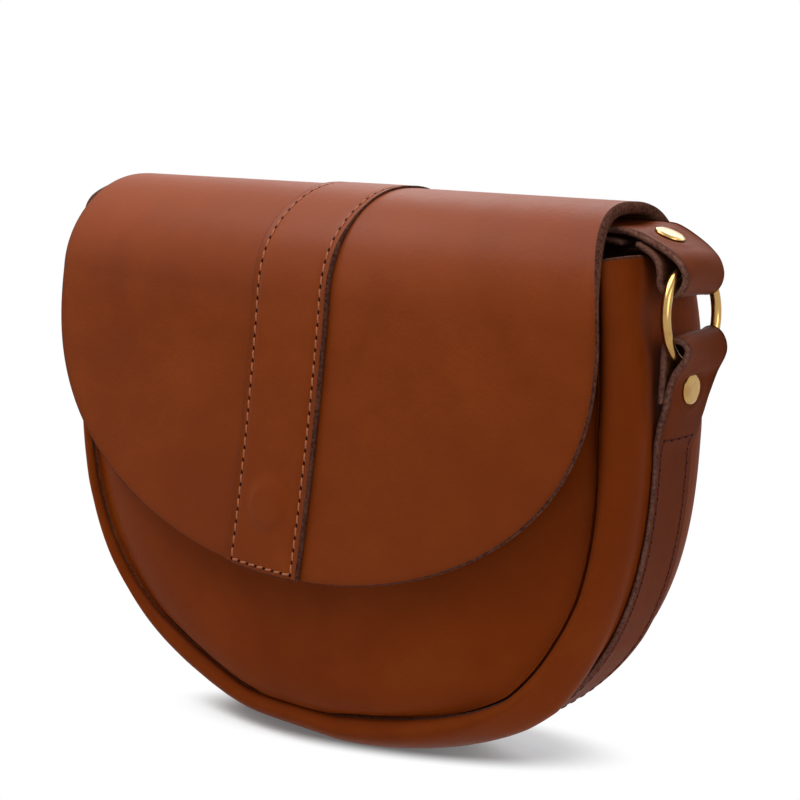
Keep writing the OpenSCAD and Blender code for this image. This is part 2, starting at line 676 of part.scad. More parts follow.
module snap_socket_washer() {
    color(steel)
        at_snap(-socket_neck_l - washer_t)
            difference() {
                cylinder(r = snap_r, h = washer_t);
                translate([0, 0, -washer_t])
                    cylinder(r = snap_neck_r * 0.7, h = 3 * washer_t);
            }
}

neck_l = washer_seat - stud_out - shank_gap;
module snap_stud() {
    color(brass) {
        at_snap(stud_out - stud_h)
            rotate_extrude()
                polygon([[0, -nub_h], [snap_neck_r * 0.8, -nub_h], [socket_bore_r * 0.74, 0],
                    [snap_r * 0.95, 0], [snap_r, stud_h * 0.4], [snap_r, stud_h], [snap_neck_r, stud_h],
                    [snap_neck_r, stud_h + neck_l], [0, stud_h + neck_l]]);
    }
}

module snap_stud_washer() {
    color(steel)
        at_snap(washer_seat)
            cylinder(r = snap_r, h = washer_t);
}

front_panel();
back_panel();
gusset();
gusset_strap();
flap_lap();
flap();
flap_band();
ring_right();
ring_left();
loop_rivet_caps();
loop_rivet_posts();
strap_end_right();
strap_end_left();
strap_rivet_cap_right();
strap_rivet_cap_left();
strap_rivet_post_right();
strap_rivet_post_left();
shoulder_strap();
snap_stud();
snap_stud_washer();
snap_socket();
snap_magnet();
snap_socket_washer();
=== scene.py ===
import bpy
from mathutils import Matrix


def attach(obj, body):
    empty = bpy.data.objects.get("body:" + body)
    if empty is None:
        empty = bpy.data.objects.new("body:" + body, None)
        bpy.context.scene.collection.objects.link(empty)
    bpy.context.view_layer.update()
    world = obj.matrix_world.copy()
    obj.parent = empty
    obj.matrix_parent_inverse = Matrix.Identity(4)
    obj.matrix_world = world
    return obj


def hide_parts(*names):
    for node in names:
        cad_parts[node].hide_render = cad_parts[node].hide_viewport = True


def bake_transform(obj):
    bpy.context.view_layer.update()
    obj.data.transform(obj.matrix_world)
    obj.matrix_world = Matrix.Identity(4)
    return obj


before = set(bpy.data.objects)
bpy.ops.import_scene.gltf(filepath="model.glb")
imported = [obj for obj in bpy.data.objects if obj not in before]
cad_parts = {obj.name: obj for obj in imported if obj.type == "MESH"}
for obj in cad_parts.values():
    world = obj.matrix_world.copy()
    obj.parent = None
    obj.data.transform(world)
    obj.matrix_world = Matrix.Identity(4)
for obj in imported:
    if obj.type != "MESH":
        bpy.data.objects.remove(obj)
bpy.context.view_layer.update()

import math

import bpy
import numpy as np
from mathutils import Matrix, Vector

# Camera: low, in front of the bag and to its right, with a long lens and a slight roll.
# Lengths in this file are written in millimetres, which MM turns into metres, but for the studio's.
MM = 0.001
azimuth = math.radians(38.577)
elevation = math.radians(10.072)
roll = math.radians(2.741)
camera_distance = 630.923
target = Vector((15.958, 0.0, 128.633)) * MM
backward = Vector((math.sin(azimuth) * math.cos(elevation),
                   -math.cos(azimuth) * math.cos(elevation), math.sin(elevation)))
level_right = (-backward).cross(Vector((0, 0, 1))).normalized()
level_up = level_right.cross(-backward)
camera_right = math.cos(roll) * level_right + math.sin(roll) * level_up
camera_up = -math.sin(roll) * level_right + math.cos(roll) * level_up
camera_data = bpy.data.cameras.new("camera")
camera_data.lens = 76.66
camera_data.sensor_width = 36
camera_data.clip_start = 0.01
camera = bpy.data.objects.new("camera", camera_data)
bpy.context.scene.collection.objects.link(camera)
camera.matrix_world = (Matrix.Translation(target + backward * camera_distance * MM)
                       @ Matrix((camera_right, camera_up, backward)).transposed().to_4x4())
bpy.context.scene.camera = camera
bpy.context.scene.view_settings.view_transform = "Standard"


# Floor and studio: a pale sweep that the camera and the gloss see as white, still carrying the
# bag's soft shadow. It is lit by a wide lamp overhead, one behind and a fainter one at each side.
class Value:
    """A shader socket. Arithmetic on it adds Math nodes."""

    def __init__(self, nodes, socket):
        self.nodes = nodes
        self.socket = socket

    def math(self, operation, *others):
        inputs = dict(enumerate((self,) + others))
        return self.nodes.node("ShaderNodeMath", {"operation": operation}, inputs)

    def __add__(self, other):
        return self.math("ADD", other)

    def __mul__(self, other):
        return self.math("MULTIPLY", other)

    def __rsub__(self, other):
        return self.nodes.node("ShaderNodeMath", {"operation": "SUBTRACT"}, {0: other, 1: self})

    def fade(self, start, end):
        """0 at start, 1 at end, smooth between them."""
        return self.nodes.node("ShaderNodeMapRange", {"interpolation_type": "SMOOTHSTEP"},
                               {"Value": self, "From Min": start, "From Max": end})


class Nodes:
    """A tree of shader nodes, with short ways to add to it."""

    def __init__(self, tree):
        self.tree = tree

    def node(self, kind, settings=None, inputs=None, output=0):
        made = self.tree.nodes.new(kind)
        for name, value in (settings or {}).items():
            setattr(made, name, value)
        for name, value in (inputs or {}).items():
            self.join(value, made.inputs[name])
        return Value(self, made.outputs[output])

    def join(self, value, socket):
        if isinstance(value, Value):
            self.tree.links.new(value.socket, socket)
        elif socket.type == "RGBA":
            socket.default_value = (*value, 1)
        else:
            socket.default_value = value

    def coordinates(self, output="Object"):
        return self.node("ShaderNodeTexCoord", output=output)

    def part_of(self, vector, axis):
        return self.node("ShaderNodeSeparateXYZ", {}, {0: vector}, output=axis)

    def noise(self, at, scale, detail=2.0, roughness=0.5, distortion=0.0):
        return self.node("ShaderNodeTexNoise", {}, {"Vector": at, "Scale": scale, "Detail": detail,
                                                    "Roughness": roughness, "Distortion": distortion})

    def cells(self, at, scale, feature="F1"):
        return self.node("ShaderNodeTexVoronoi", {"feature": feature}, {"Vector": at, "Scale": scale})

    def blend(self, factor, first, second):
        """A mix of two colours. A Mix node keeps its sockets for colours at places 6 and 7."""
        return self.node("ShaderNodeMix", {"data_type": "RGBA"}, {0: factor, 6: first, 7: second}, output=2)

    def bump(self, height, strength, distance, under=None):
        inputs = {"Height": height, "Strength": strength, "Distance": distance}
        if under is not None:
            inputs["Normal"] = under
        return self.node("ShaderNodeBump", {}, inputs)

    def glow(self, kind, strength):
        return self.node(kind, {}, {"Color": (1, 1, 1), "Strength": strength})

    def seen(self):
        """1 for rays from the camera, a mirror or glass, else 0."""
        path = self.tree.nodes.new("ShaderNodeLightPath")
        from_camera, from_gloss, through_glass = (
            Value(self, path.outputs[name])
            for name in ("Is Camera Ray", "Is Glossy Ray", "Is Transmission Ray"))
        return from_camera.math("MAXIMUM", from_gloss).math("MAXIMUM", through_glass)


class Look(Nodes):
    """A material: its surface and the nodes that make it."""

    def __init__(self, name, color, roughness, **sockets):
        self.material = bpy.data.materials.new(name)
        self.material.use_nodes = True
        super().__init__(self.material.node_tree)
        self.surface = self.tree.nodes["Principled BSDF"]
        self.surface.inputs["Base Color"].default_value = (*color, 1)
        self.surface.inputs["Roughness"].default_value = roughness
        for socket, value in sockets.items():
            self.surface.inputs[socket.replace("_", " ")].default_value = value
        self.material.diffuse_color = (*color, 1)

    def set(self, socket, value):
        self.join(value, self.surface.inputs[socket])


shadow_place = (0.018, 0.005, 0)
shadow_turn = (0, 0, math.radians(25))
shadow_size = (0.084, 0.029, 1)
bpy.ops.object.select_all(action="DESELECT")
bpy.ops.mesh.primitive_plane_add(size=9.0, location=(0, 0, 0))
floor = bpy.context.object
floor.name = "studio_floor"
floor_look = Look("pale_floor", (0.80, 0.80, 0.80), 0.9, Specular_IOR_Level=0.0)
floor_at = floor_look.coordinates()
speckle = floor_look.noise(floor_at, 40.0)
floor_look.set("Base Color", floor_look.blend(speckle, (0.79, 0.79, 0.79), (0.81, 0.81, 0.81)))
matt = Value(floor_look, floor_look.surface.outputs[0])
faint_glow = floor_look.glow("ShaderNodeEmission", 0.11)
white_out = floor_look.glow("ShaderNodeEmission", 1.0)
# The floor is seen white but for an ellipse under the bag, where it keeps the shadow.
under_bag = floor_look.node("ShaderNodeMapping", {"vector_type": "TEXTURE"}, {
    "Vector": floor_at, "Location": shadow_place, "Rotation": shadow_turn, "Scale": shadow_size})
away = floor_look.node("ShaderNodeVectorMath", {"operation": "LENGTH"}, {0: under_bag}, output="Value")
near_floor = floor_look.node("ShaderNodeAddShader", {}, {0: matt, 1: faint_glow})
outside = away.fade(0.70, 1.12)
lit_floor = floor_look.node("ShaderNodeMixShader", {}, {0: outside, 1: near_floor, 2: white_out})
floor_mix = floor_look.node("ShaderNodeMixShader", {}, {0: floor_look.seen(), 1: matt, 2: lit_floor})
floor_look.join(floor_mix, floor_look.tree.nodes["Material Output"].inputs["Surface"])
floor.data.materials.append(floor_look.material)

world = bpy.data.worlds.new("studio")
bpy.context.scene.world = world
world.use_nodes = True
sky = Nodes(world.node_tree)
dim_sky = sky.tree.nodes["Background"]
dim_sky.inputs["Color"].default_value = (0.95, 0.97, 1.0, 1)
dim_sky.inputs["Strength"].default_value = 0.27
white_sky = sky.glow("ShaderNodeBackground", 1.0)
sky_light = Value(sky, dim_sky.outputs[0])
sky_mix = sky.node("ShaderNodeMixShader", {}, {0: sky.seen(), 1: sky_light, 2: white_sky})
sky.join(sky_mix, sky.tree.nodes["World Output"].inputs["Surface"])


def lamp(name, place, aim, width, height, power, color=(1, 1, 1)):
    data = bpy.data.lights.new(name, "AREA")
    data.shape = "RECTANGLE"
    data.size = width
    data.size_y = height
    data.energy = power
    data.color = color
    made = bpy.data.objects.new(name, data)
    bpy.context.scene.collection.objects.link(made)
    made.location = place
    made.rotation_euler = (Vector(aim) - Vector(place)).to_track_quat("-Z", "Y").to_euler()


lamp("overhead", (-0.15, -0.25, 0.85), (0, -0.02, 0.10), 0.8, 0.6, 9.5)
lamp("behind", (-0.25, 0.75, 0.85), (0, 0, 0.12), 1.0, 0.6, 6.0, (0.93, 0.96, 1.0))
lamp("left", (-0.9, -0.75, 0.6), (0, 0, 0.1), 0.8, 0.8, 2.1, (0.97, 0.98, 1.0))
lamp("right", (1.1, -0.30, 0.55), (0, 0, 0.1), 0.6, 0.6, 4.0)


# Pouch panels: two D-shaped pieces of vegetable-tanned leather, grain side out. Each swells
# between its seams and rolls in steeply at the edge, where it is sewn to the gusset inside out.
pouch_half_w = 123.6
widest_h = 132.1
mouth_h = 191.1
mouth_inset = 8.0
seam_floor = 14.9
seam_arc_h = 118.0
seam_square_x = 2.2
seam_square_z = 2.6
front_seam_y = -31.0
front_low_out = 3.5
front_top_in = 2.5
front_swell = 10.5
front_full_low = 0.62
back_seam_y = 28.0
back_top_in = 4.45
back_swell = 4.0
back_swell_lost = 1.2
panel_t = 2.4
panel_step = 2.2
flap_widest_h = 157.1


def clamp(s):
    return np.clip(s, 0.0, 1.0)


def run_along(points):
    """The length of the line from its first point to each point."""
    return np.concatenate([[0], np.cumsum(np.linalg.norm(np.diff(points, axis=0), axis=1))])


def evenly(points, spacing, *carried):
    """The same line cut into equal steps; values carried along it are cut too."""
    points = np.asarray(points, float)
    run = run_along(points)
    at = np.linspace(0, run[-1], max(2, int(round(run[-1] / spacing)) + 1))
    cut = [np.stack([np.interp(at, run, line[:, k]) for k in range(line.shape[1])], axis=1)
           for line in [points] + [np.asarray(c, float).reshape(len(points), -1) for c in carried]]
    return cut if carried else cut[0]


def low_seam(angles):
    """The right seam below its widest place, a squarish quarter of an oval."""
    return np.stack([pouch_half_w * np.cos(angles) ** (2 / seam_square_x),
                     widest_h - seam_arc_h * np.sin(angles) ** (2 / seam_square_z)], axis=1)


def high_seam(shares):
    """The right seam from its widest place up to the mouth."""
    return np.stack([pouch_half_w - mouth_inset * shares ** 2,
                     widest_h + (mouth_h - widest_h) * shares], axis=1)


def both_sides(right_line):
    """A line of (x, z) from the left side's mouth round under the bag to the right side's."""
    return np.concatenate([right_line[::-1] * [-1, 1], right_line])


floor_end = math.asin(((widest_h - seam_floor) / seam_arc_h) ** (seam_square_z / 2))
right_seam = evenly(np.concatenate([low_seam(np.linspace(floor_end, 0, 90)),
                                    high_seam(np.linspace(0, 1, 40)[1:])]), panel_step)
all_seam = both_sides(right_seam)


def above(z):
    """0 up to the flap's widest place, then rising to 1 at the mouth, where the pouch is less deep."""
    return (np.maximum(0, z - flap_widest_h) / (mouth_h - flap_widest_h)) ** 2


def front_y(z):
    """The depth of the front seam: further out towards the floor."""
    below = (np.maximum(0, widest_h - z) / widest_h) ** 2
    return front_seam_y - front_low_out * below + front_top_in * above(z)


def back_y(z):
    return back_seam_y - back_top_in * above(z)


def height_share(z):
    return clamp((z - seam_floor) / (mouth_h - seam_floor))


def front_face(u, z):
    """The front panel's face at share u of its half width and height z. A power of the height's
    share below 1 puts its fullest place below the middle."""
    swell = np.sqrt(np.maximum(0, np.sin(math.pi * height_share(z) ** front_full_low)))
    return front_y(z) - front_swell * swell * (1 - np.abs(u) ** 4)


def back_face(u, z):
    """The back panel's face: nearly flat, with its swell gained in the lowest third."""
    swell = np.sqrt(np.sin(math.pi / 2 * np.minimum(1, 3 * height_share(z))))
    return back_y(z) + (back_swell - back_swell_lost * above(z)) * swell * (1 - np.abs(u) ** 6)


def across(count, crowding=0.2):
    """Shares from -1 to 1, a little closer together at both ends."""
    s = np.linspace(-1, 1, count)
    return s * (1 + crowding) - crowding * s ** 3


def unit(v):
    return v / np.maximum(np.linalg.norm(v, axis=-1, keepdims=True), 1e-9)


def outer_normals(face, back):
    """Normals of a grid of points, on the side away from the grid behind it."""
    normals = unit(np.cross(np.gradient(face, axis=0), np.gradient(face, axis=1)))
    return normals * np.sign(np.sum(normals * (face - back), axis=2, keepdims=True))


def border_of(rows, cols):
    """A grid's places all the way round, as rows and columns, and the side that each is on:
    s for the first row, e for the last column, n for the last row and w for the first column."""
    ring = ([(0, j, "s") for j in range(cols - 1)]
            + [(i, cols - 1, "e") for i in range(rows - 1)]
            + [(rows - 1, j, "n") for j in range(cols - 1, 0, -1)]
            + [(i, 0, "w") for i in range(rows - 1, 0, -1)])
    return np.array([place[:2] for place in ring]).T, [place[2] for place in ring]


rim_bulge = 1.6


def rounded_rim(face, flesh, cut, roundness, steps):
    """Draws the cut border of both grids in, and lays rings of points round the edge between
    them. Returns the middle line of the edge, where it is cut, its rings and its thickness."""
    rows, cols = face.shape[:2]
    (i, j), sides = border_of(rows, cols)
    middle, half = (face[i, j] + flesh[i, j]) / 2, (face[i, j] - flesh[i, j]) / 2
    inner_i, inner_j = np.clip(i, 2, rows - 3), np.clip(j, 2, cols - 3)
    inside = (face[inner_i, inner_j] + flesh[inner_i, inner_j]) / 2
    tangent = unit(np.roll(middle, -1, axis=0) - np.roll(middle, 1, axis=0))
    outward = unit(np.cross(tangent, half))
    outward *= np.sign(np.sum(outward * (middle - inside), axis=1, keepdims=True))
    rounded = np.array([[1.0 if side in cut else 0.0] for side in sides])
    # A corner is round only where both its sides are cut.
    for corner in (0, cols - 1, cols + rows - 2, 2 * cols + rows - 3):
        rounded[corner] = min(rounded[corner], rounded[corner - 1])
    drawn_in = outward * (np.linalg.norm(half, axis=1, keepdims=True) * roundness * rounded)
    face[i, j] -= drawn_in
    flesh[i, j] -= drawn_in
    angles = np.linspace(math.pi / 2, -math.pi / 2, steps + 1)[1:-1]
    rings = [middle - drawn_in + half * math.sin(a) + drawn_in * math.cos(a) * rim_bulge for a in angles]
    return middle, rounded[:, 0] > 0, rings, np.linalg.norm(half, axis=1).mean() * 2


edge_fade = 3.0


def nearness(places, cut_line):
    """1 at the cut edge, fading away from it."""
    gap = np.full(len(places), 1e9)
    for start in range(0, len(cut_line), 64):
        some = cut_line[None, start:start + 64]
        gap = np.minimum(gap, np.min(np.linalg.norm(places[:, None] - some, axis=2), axis=1))
    return np.exp(-gap / edge_fade)


def add_object(name, mesh, looks, smooth_angle=50.0):
    made = bpy.data.objects.new(name, mesh)
    bpy.context.scene.collection.objects.link(made)
    for look in looks:
        mesh.materials.append(look.material)
    bpy.ops.object.select_all(action="DESELECT")
    made.select_set(True)
    bpy.context.view_layer.objects.active = made
    bpy.ops.object.shade_smooth_by_angle(angle=math.radians(smooth_angle))
    return made


def leather_sheet(name, face, flesh, looks, cut="news", roundness=0.45, rim_steps=5, row_run=None):
    """A closed sheet of leather between the grid of its grain side and that of its flesh side.
    cut names the sides with a rounded cut edge, as border_of does; the others are closed flat.
    The looks are those of the grain, the flesh and the edge. UV is the run along rows and
    columns, in metres."""
    face, flesh = np.array(face, float), np.array(flesh, float)
    rows, cols = face.shape[:2]
    middle, is_cut, rings, thickness = rounded_rim(face, flesh, cut, roundness, rim_steps)
    points = np.concatenate([face.reshape(-1, 3), flesh.reshape(-1, 3)] + rings) * MM
    flesh_first, rings_first = rows * cols, 2 * rows * cols

    run_rows = run_along(face[:, cols // 2]) if row_run is None else np.asarray(row_run, float)
    run_cols = np.cumsum(np.linalg.norm(np.diff(face, axis=1), axis=2), axis=1)
    run_cols = np.concatenate([np.zeros((rows, 1)), run_cols], axis=1)
    run_cols -= run_cols[:, cols // 2][:, None]
    skin_uv = np.stack([np.repeat(run_rows[:, None], cols, axis=1), run_cols], axis=2) * MM
    skin_uv = skin_uv.reshape(-1, 2)
    i, j = np.meshgrid(np.arange(rows - 1), np.arange(cols - 1), indexing="ij")
    first = (i * cols + j).reshape(-1)
    skin = np.stack([first, first + cols, first + cols + 1, first + 1], axis=1)
    faces = [skin, skin[:, ::-1] + flesh_first]
    kinds = [np.zeros(len(skin), int), np.ones(len(skin), int)]
    uvs = [skin_uv[skin], skin_uv[skin]]

    (edge_i, edge_j), sides = border_of(rows, cols)
    edge = edge_i * cols + edge_j
    count = len(edge)
    ring_levels = [rings_first + count * k + np.arange(count) for k in range(len(rings))]
    levels = [edge] + ring_levels + [edge + flesh_first]
    edge_run = run_along(middle) * MM
    next_run = np.append(edge_run[1:], edge_run[-1])
    after = np.roll(np.arange(count), -1)
    strips = len(levels) - 1
    for k, (upper, lower) in enumerate(zip(levels, levels[1:])):
        top, foot = k / strips * (thickness * MM), (k + 1) / strips * (thickness * MM)
        corners = ((edge_run, top), (next_run, top), (next_run, foot), (edge_run, foot))
        faces.append(np.stack([upper, upper[after], lower[after], lower], axis=1))
        kinds.append(np.full(count, 2))
        uvs.append(np.stack([np.stack([u, np.full(count, v)], axis=1) for u, v in corners], axis=1))
    faces, kinds, uvs = np.concatenate(faces), np.concatenate(kinds), np.concatenate(uvs)
    # Where the faces point inwards, they are turned round.
    a, b, c, d = (points[faces[:, k]] for k in range(4))
    if np.sum(np.cross(a, b) * c) + np.sum(np.cross(a, c) * d) < 0:
        faces, uvs = faces[:, ::-1], uvs[:, ::-1]

    mesh = bpy.data.meshes.new(name)
    mesh.vertices.add(len(points))
    mesh.vertices.foreach_set("co", points.reshape(-1))
    mesh.loops.add(faces.size)
    mesh.loops.foreach_set("vertex_index", faces.reshape(-1))
    mesh.polygons.add(len(faces))
    mesh.polygons.foreach_set("loop_start", np.arange(len(faces)) * 4)
    mesh.polygons.foreach_set("material_index", kinds)
    mesh.uv_layers.new(name="run").data.foreach_set("uv", uvs.reshape(-1))
    mesh.update(calc_edges=True)
    mesh.validate()
    places = np.concatenate([face.reshape(-1, 3)] * 2 + [middle] * len(rings))
    near = mesh.attributes.new("edge_near", "FLOAT", "POINT")
    near.data.foreach_set("value", nearness(places, middle[is_cut]).astype(np.float32))
    return add_object(name, mesh, looks)


def times(color, factor):
    return tuple(part * factor for part in color)


def leather_look(name, tone, deep, sheen=0.47, specular=0.05, wax_and_sheen_from=150.0, wax_and_sheen_full=205.0, wax=0.15,
                 painted_sheen=0.0):
    """Aniline-dyed cowhide: slow blotches of colour, a fine pebbled grain with darker pores, and
    edges that handling has darkened. Towards its fold it is waxed, and there, less on the right, its colour
    carries a painted highlight that makes it lighter."""
    look = Look(name, tone, sheen, Specular_IOR_Level=specular, Coat_Roughness=0.42)
    at = look.coordinates()
    height, beside = look.part_of(at, "Z"), look.part_of(at, "X")
    # Where the wax coat and the painted highlight lie: towards the fold, less on the right.
    fold = height.fade(wax_and_sheen_from * MM, wax_and_sheen_full * MM) * (1 - beside.fade(0.0, 0.11) * 0.75)
    look.set("Coat Weight", fold * wax)
    slow = look.noise(at, 14.0, 3.0, 0.55, 0.6)
    cloudy = look.noise(at, 70.0, 4.0, 0.6)
    pores = look.cells(at, 1500.0)
    pebble = look.cells(at, 900.0, "SMOOTH_F1")
    fibre = look.noise(at, 2600.0, 3.0, 0.7)
    near = look.node("ShaderNodeAttribute", {"attribute_name": "edge_near"}, output="Fac")
    blotch = (slow * 0.7 + cloudy * 0.3).fade(0.34, 0.68)
    color = look.blend(blotch, deep, tone)
    grain_dark = (1 - pores.fade(0.10, 0.45)) * 0.16 + fibre.fade(0.5, 0.8) * 0.10
    color = look.blend(grain_dark, color, times(deep, 0.45))
    color = look.blend(near.fade(0.25, 1.0) * 0.45, color, times(deep, 0.5))
    # Painted highlight: towards the fold the colour is painted lighter and paler.
    color = look.blend(fold * painted_sheen, color, tuple(part * 1.5 + 0.012 for part in tone))
    look.set("Base Color", color)
    look.set("Roughness", cloudy * 0.16 + pores * 0.10 + (sheen - 0.13))
    relief = pebble * 0.6 + pores * 0.25 + fibre * 0.35
    coarse = look.bump(look.noise(at, 160.0, 4.0, 0.6), 0.25, 0.0006)
    look.set("Normal", look.bump(relief, 0.22, 0.00028, coarse))
    return look


def fuzzy_look(name, tone, deep, layers=False):
    """Raw leather: matted fibres, with the cut's darker layers where it is an edge."""
    look = Look(name, tone, 0.85, Specular_IOR_Level=0.02)
    at = look.coordinates()
    felt = look.noise(at, 900.0, 6.0, 0.75)
    patch = look.noise(at, 120.0, 3.0, 0.6)
    color = look.blend(felt.fade(0.35, 0.68), deep, tone)
    color = look.blend(patch.fade(0.45, 0.7) * 0.35, color, times(tone, 1.25))
    if layers:
        depth = look.part_of(look.coordinates("UV"), "Y")
        line = (depth * 2600.0 + felt * 2.2).math("SINE").fade(0.2, 0.95)
        color = look.blend(line * 0.35, color, times(deep, 0.55))
    look.set("Base Color", color)
    look.set("Roughness", felt * 0.2 + 0.74)
    look.set("Normal", look.bump(felt, 0.6, 0.0005))
    return look


# The flap's leather has a painted highlight towards its crown; the pouch's has neither wax nor highlight.
grain = leather_look("chestnut_leather", (0.148, 0.0270, 0.0030), (0.120, 0.0200, 0.0019), painted_sheen=0.26)
pouch_grain = leather_look("pouch_leather", (0.152, 0.0270, 0.0030), (0.124, 0.0200, 0.0019),
                           specular=0.02, wax=0.0)
flesh_side = fuzzy_look("flesh_side", (0.120, 0.050, 0.022), (0.070, 0.027, 0.011))
raw_edge = fuzzy_look("raw_edge", (0.125, 0.048, 0.030), (0.030, 0.0110, 0.0070), layers=True)
flap_hide = (grain, flesh_side, raw_edge)
pouch_hide = (pouch_grain, flesh_side, raw_edge)

# Full of things, this bag sits squarer at its lower right than at its left: how far its front seam
# lies outside the even one, by the angle round a hub inside the pouch, from straight down.
hub_h = 110.0
sag_angles = np.array([-112.0, -95, -80, -72, -62, -52, -44, -36, -28, -22, -16, -9, 0, 10, 18, 26, 34, 41,
                       48, 54, 60, 68, 76, 84, 92, 102, 112, 125])
sag_reach = np.array([0.0, -2.5, -3.4, -3.1, -2.3, -2.0, -2.1, -2.9, -2.8, -1.7, -0.2, 0.2, -0.3, -1.0, -2.1,
                      -2.3, -1.8, -0.5, 1.2, 2.7, 2.2, 1.4, 1.5, 0.6, -0.3, -1.8, -1.2, 0.0])


def round_hub(x, z):
    return np.degrees(np.arctan2(x, hub_h - z))


seam_around = round_hub(all_seam[:, 0], all_seam[:, 1])
seam_radius = np.hypot(all_seam[:, 0], all_seam[:, 1] - hub_h)


def squared(grid):
    """The grid moved out or in along the seam by this bag's sag, least in its middle."""
    x, z = grid[..., 0], grid[..., 2]
    around = round_hub(x, z)
    radius = np.hypot(x, z - hub_h)
    border = np.interp(around, seam_around, seam_radius)
    move = np.interp(around, sag_angles, sag_reach) * clamp(radius / border) ** 7
    radius = radius + 1e-6
    return grid + np.stack([move * x / radius, 0 * x, move * (z - hub_h) / radius], axis=-1)


panel_cols = 72
rim_inset = 0.9
# The rim sinks in over its own width, and comes back out within the seam's.
rim_sunk = 2.4
rim_w = 9.0
seam_w = 0.8
# Steps out past the seam, and how far each turns in.
panel_tuck = ((0.15, 1.2), (0.4, 3.6))


def panel_grid(face_at, inward):
    """Rows from the floor to the mouth. Inward is 1 for the front panel and -1 for the back. The
    rim is sunk behind the gusset's roll, and past the seam the panel turns in under the gusset."""
    shares = across(panel_cols, 0.35)
    half_w, z = right_seam[:, 0], right_seam[:, 1]
    rows = []
    for half, level in zip(half_w, z):
        margin = np.minimum((1 - np.abs(shares)) * half, 1.4 * (level - seam_floor))
        sunk = inward * rim_sunk * np.exp(-margin / rim_w) * (1 - np.exp(-margin / seam_w))
        y = face_at(shares, np.full(panel_cols, level)) + sunk
        rows.append(np.stack([shares * half, y, np.full(panel_cols, level)], axis=1))
    grid = np.array(rows)
    grid[..., 0] *= 1 - rim_inset / np.maximum(half_w, 20.0)[:, None]
    if inward > 0:
        grid = squared(grid)
    heading = unit(np.gradient(right_seam, axis=0))
    out = np.stack([heading[:, 1], np.zeros(len(z)), -heading[:, 0]], axis=1)
    out[0] = (0, 0, -1)
    for reach, turn in panel_tuck:
        step = reach * out[:, None, :]
        right = grid[:, -1:] + (step + [0, turn * inward, 0])
        left = grid[:, :1] + (step * [-1, 1, 1] + [0, turn * inward, 0])
        grid = np.concatenate([left, grid, right], axis=1)
    for reach, turn in panel_tuck:
        grid = np.concatenate([grid[:1] + [0, turn * inward, -reach], grid], axis=0)
    return grid


front_grid = panel_grid(front_face, 1.0)
back_grid = panel_grid(back_face, -1.0)
front_panel = leather_sheet("front_panel_leather", front_grid, front_grid + [0, panel_t, 0], pouch_hide, "n")
back_panel = leather_sheet("back_panel_leather", back_grid, back_grid - [0, panel_t, 0], pouch_hide, "n")
for panel, node in ((front_panel, "front_panel"), (back_panel, "back_panel")):
    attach(panel, "bag")
    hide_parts(node)


# Gusset: one long strip from mouth to mouth round the bottom. Turned right side out it stands
# proud of both seams like a roll, flat under its strap and pressed in behind the rings.
roll_out = 7.3
roll_out_top = 1.1
roll_out_floor = 5.1
gusset_cols = 61
strap_bed = 0.55
front_edge_y = -12.8
back_belly = 1.9
gusset_step = 2.0
whole_seam = evenly(all_seam, gusset_step)
seam_heading = unit(np.gradient(whole_seam, axis=0))
seam_out = np.stack([seam_heading[:, 1], -seam_heading[:, 0]], axis=1)
# Along the flat of the floor it faces straight down.
seam_out[whole_seam[:, 1] < seam_floor + 0.02] = (0, -1)


def fade(value, start, end):
    """0 at start, 1 at end, smooth between them."""
    s = clamp((value - start) / (end - start))
    return s ** 2 * (3 - 2 * s)


def bulge_at(z):
    """How far the gusset stands out from the seams: less at the mouth, most at the floor."""
    below = (np.maximum(0, widest_h - z) / (widest_h - seam_floor)) ** 1.7
    return roll_out - roll_out_top * fade(z, widest_h, widest_h + 14.0) + roll_out_floor * below


# How this bag's gusset differs round the bottom, by the way that the gusset faces: 0 is straight
# down and 90 to the right. The front roll stands out, swells forward and is slimmer on the left.
roll_angles = np.array([-100.0, -60, -45, -30, -20, -12, 0, 9, 14, 19, 25, 31, 38, 45, 53, 61, 70, 85,
                        100, 120])
roll_reach = np.array([0.0, -3.2, -4.0, -2.8, -2.5, -1.0, 0.2, 0.0, 0.0, 0.3, 1.0, 2.2, 3.7, 4.5, 3.4, 2.3,
                       1.5, 1.0, 0.5, 0.2])
belly_angles = np.array([-90.0, -70, -10, 15, 40])
belly_reach = np.array([2.4, 4.4, 4.4, 3.6, 2.6])
slim_angles = np.array([-90.0, -65, -40, -25, -10])
slim_share = np.array([0.0, 0.38, 0.38, 0.15, 0.0])
# Behind, its lower right corner is drawn in, and the strap with it.
drawn_angles = np.array([8.0, 20, 30, 40, 50, 62, 75, 90, 98, 106])
drawn_reach = np.array([0.0, 0.9, 1.7, 1.9, 1.4, 0.7, 0.9, 1.3, 1.0, 0.0])


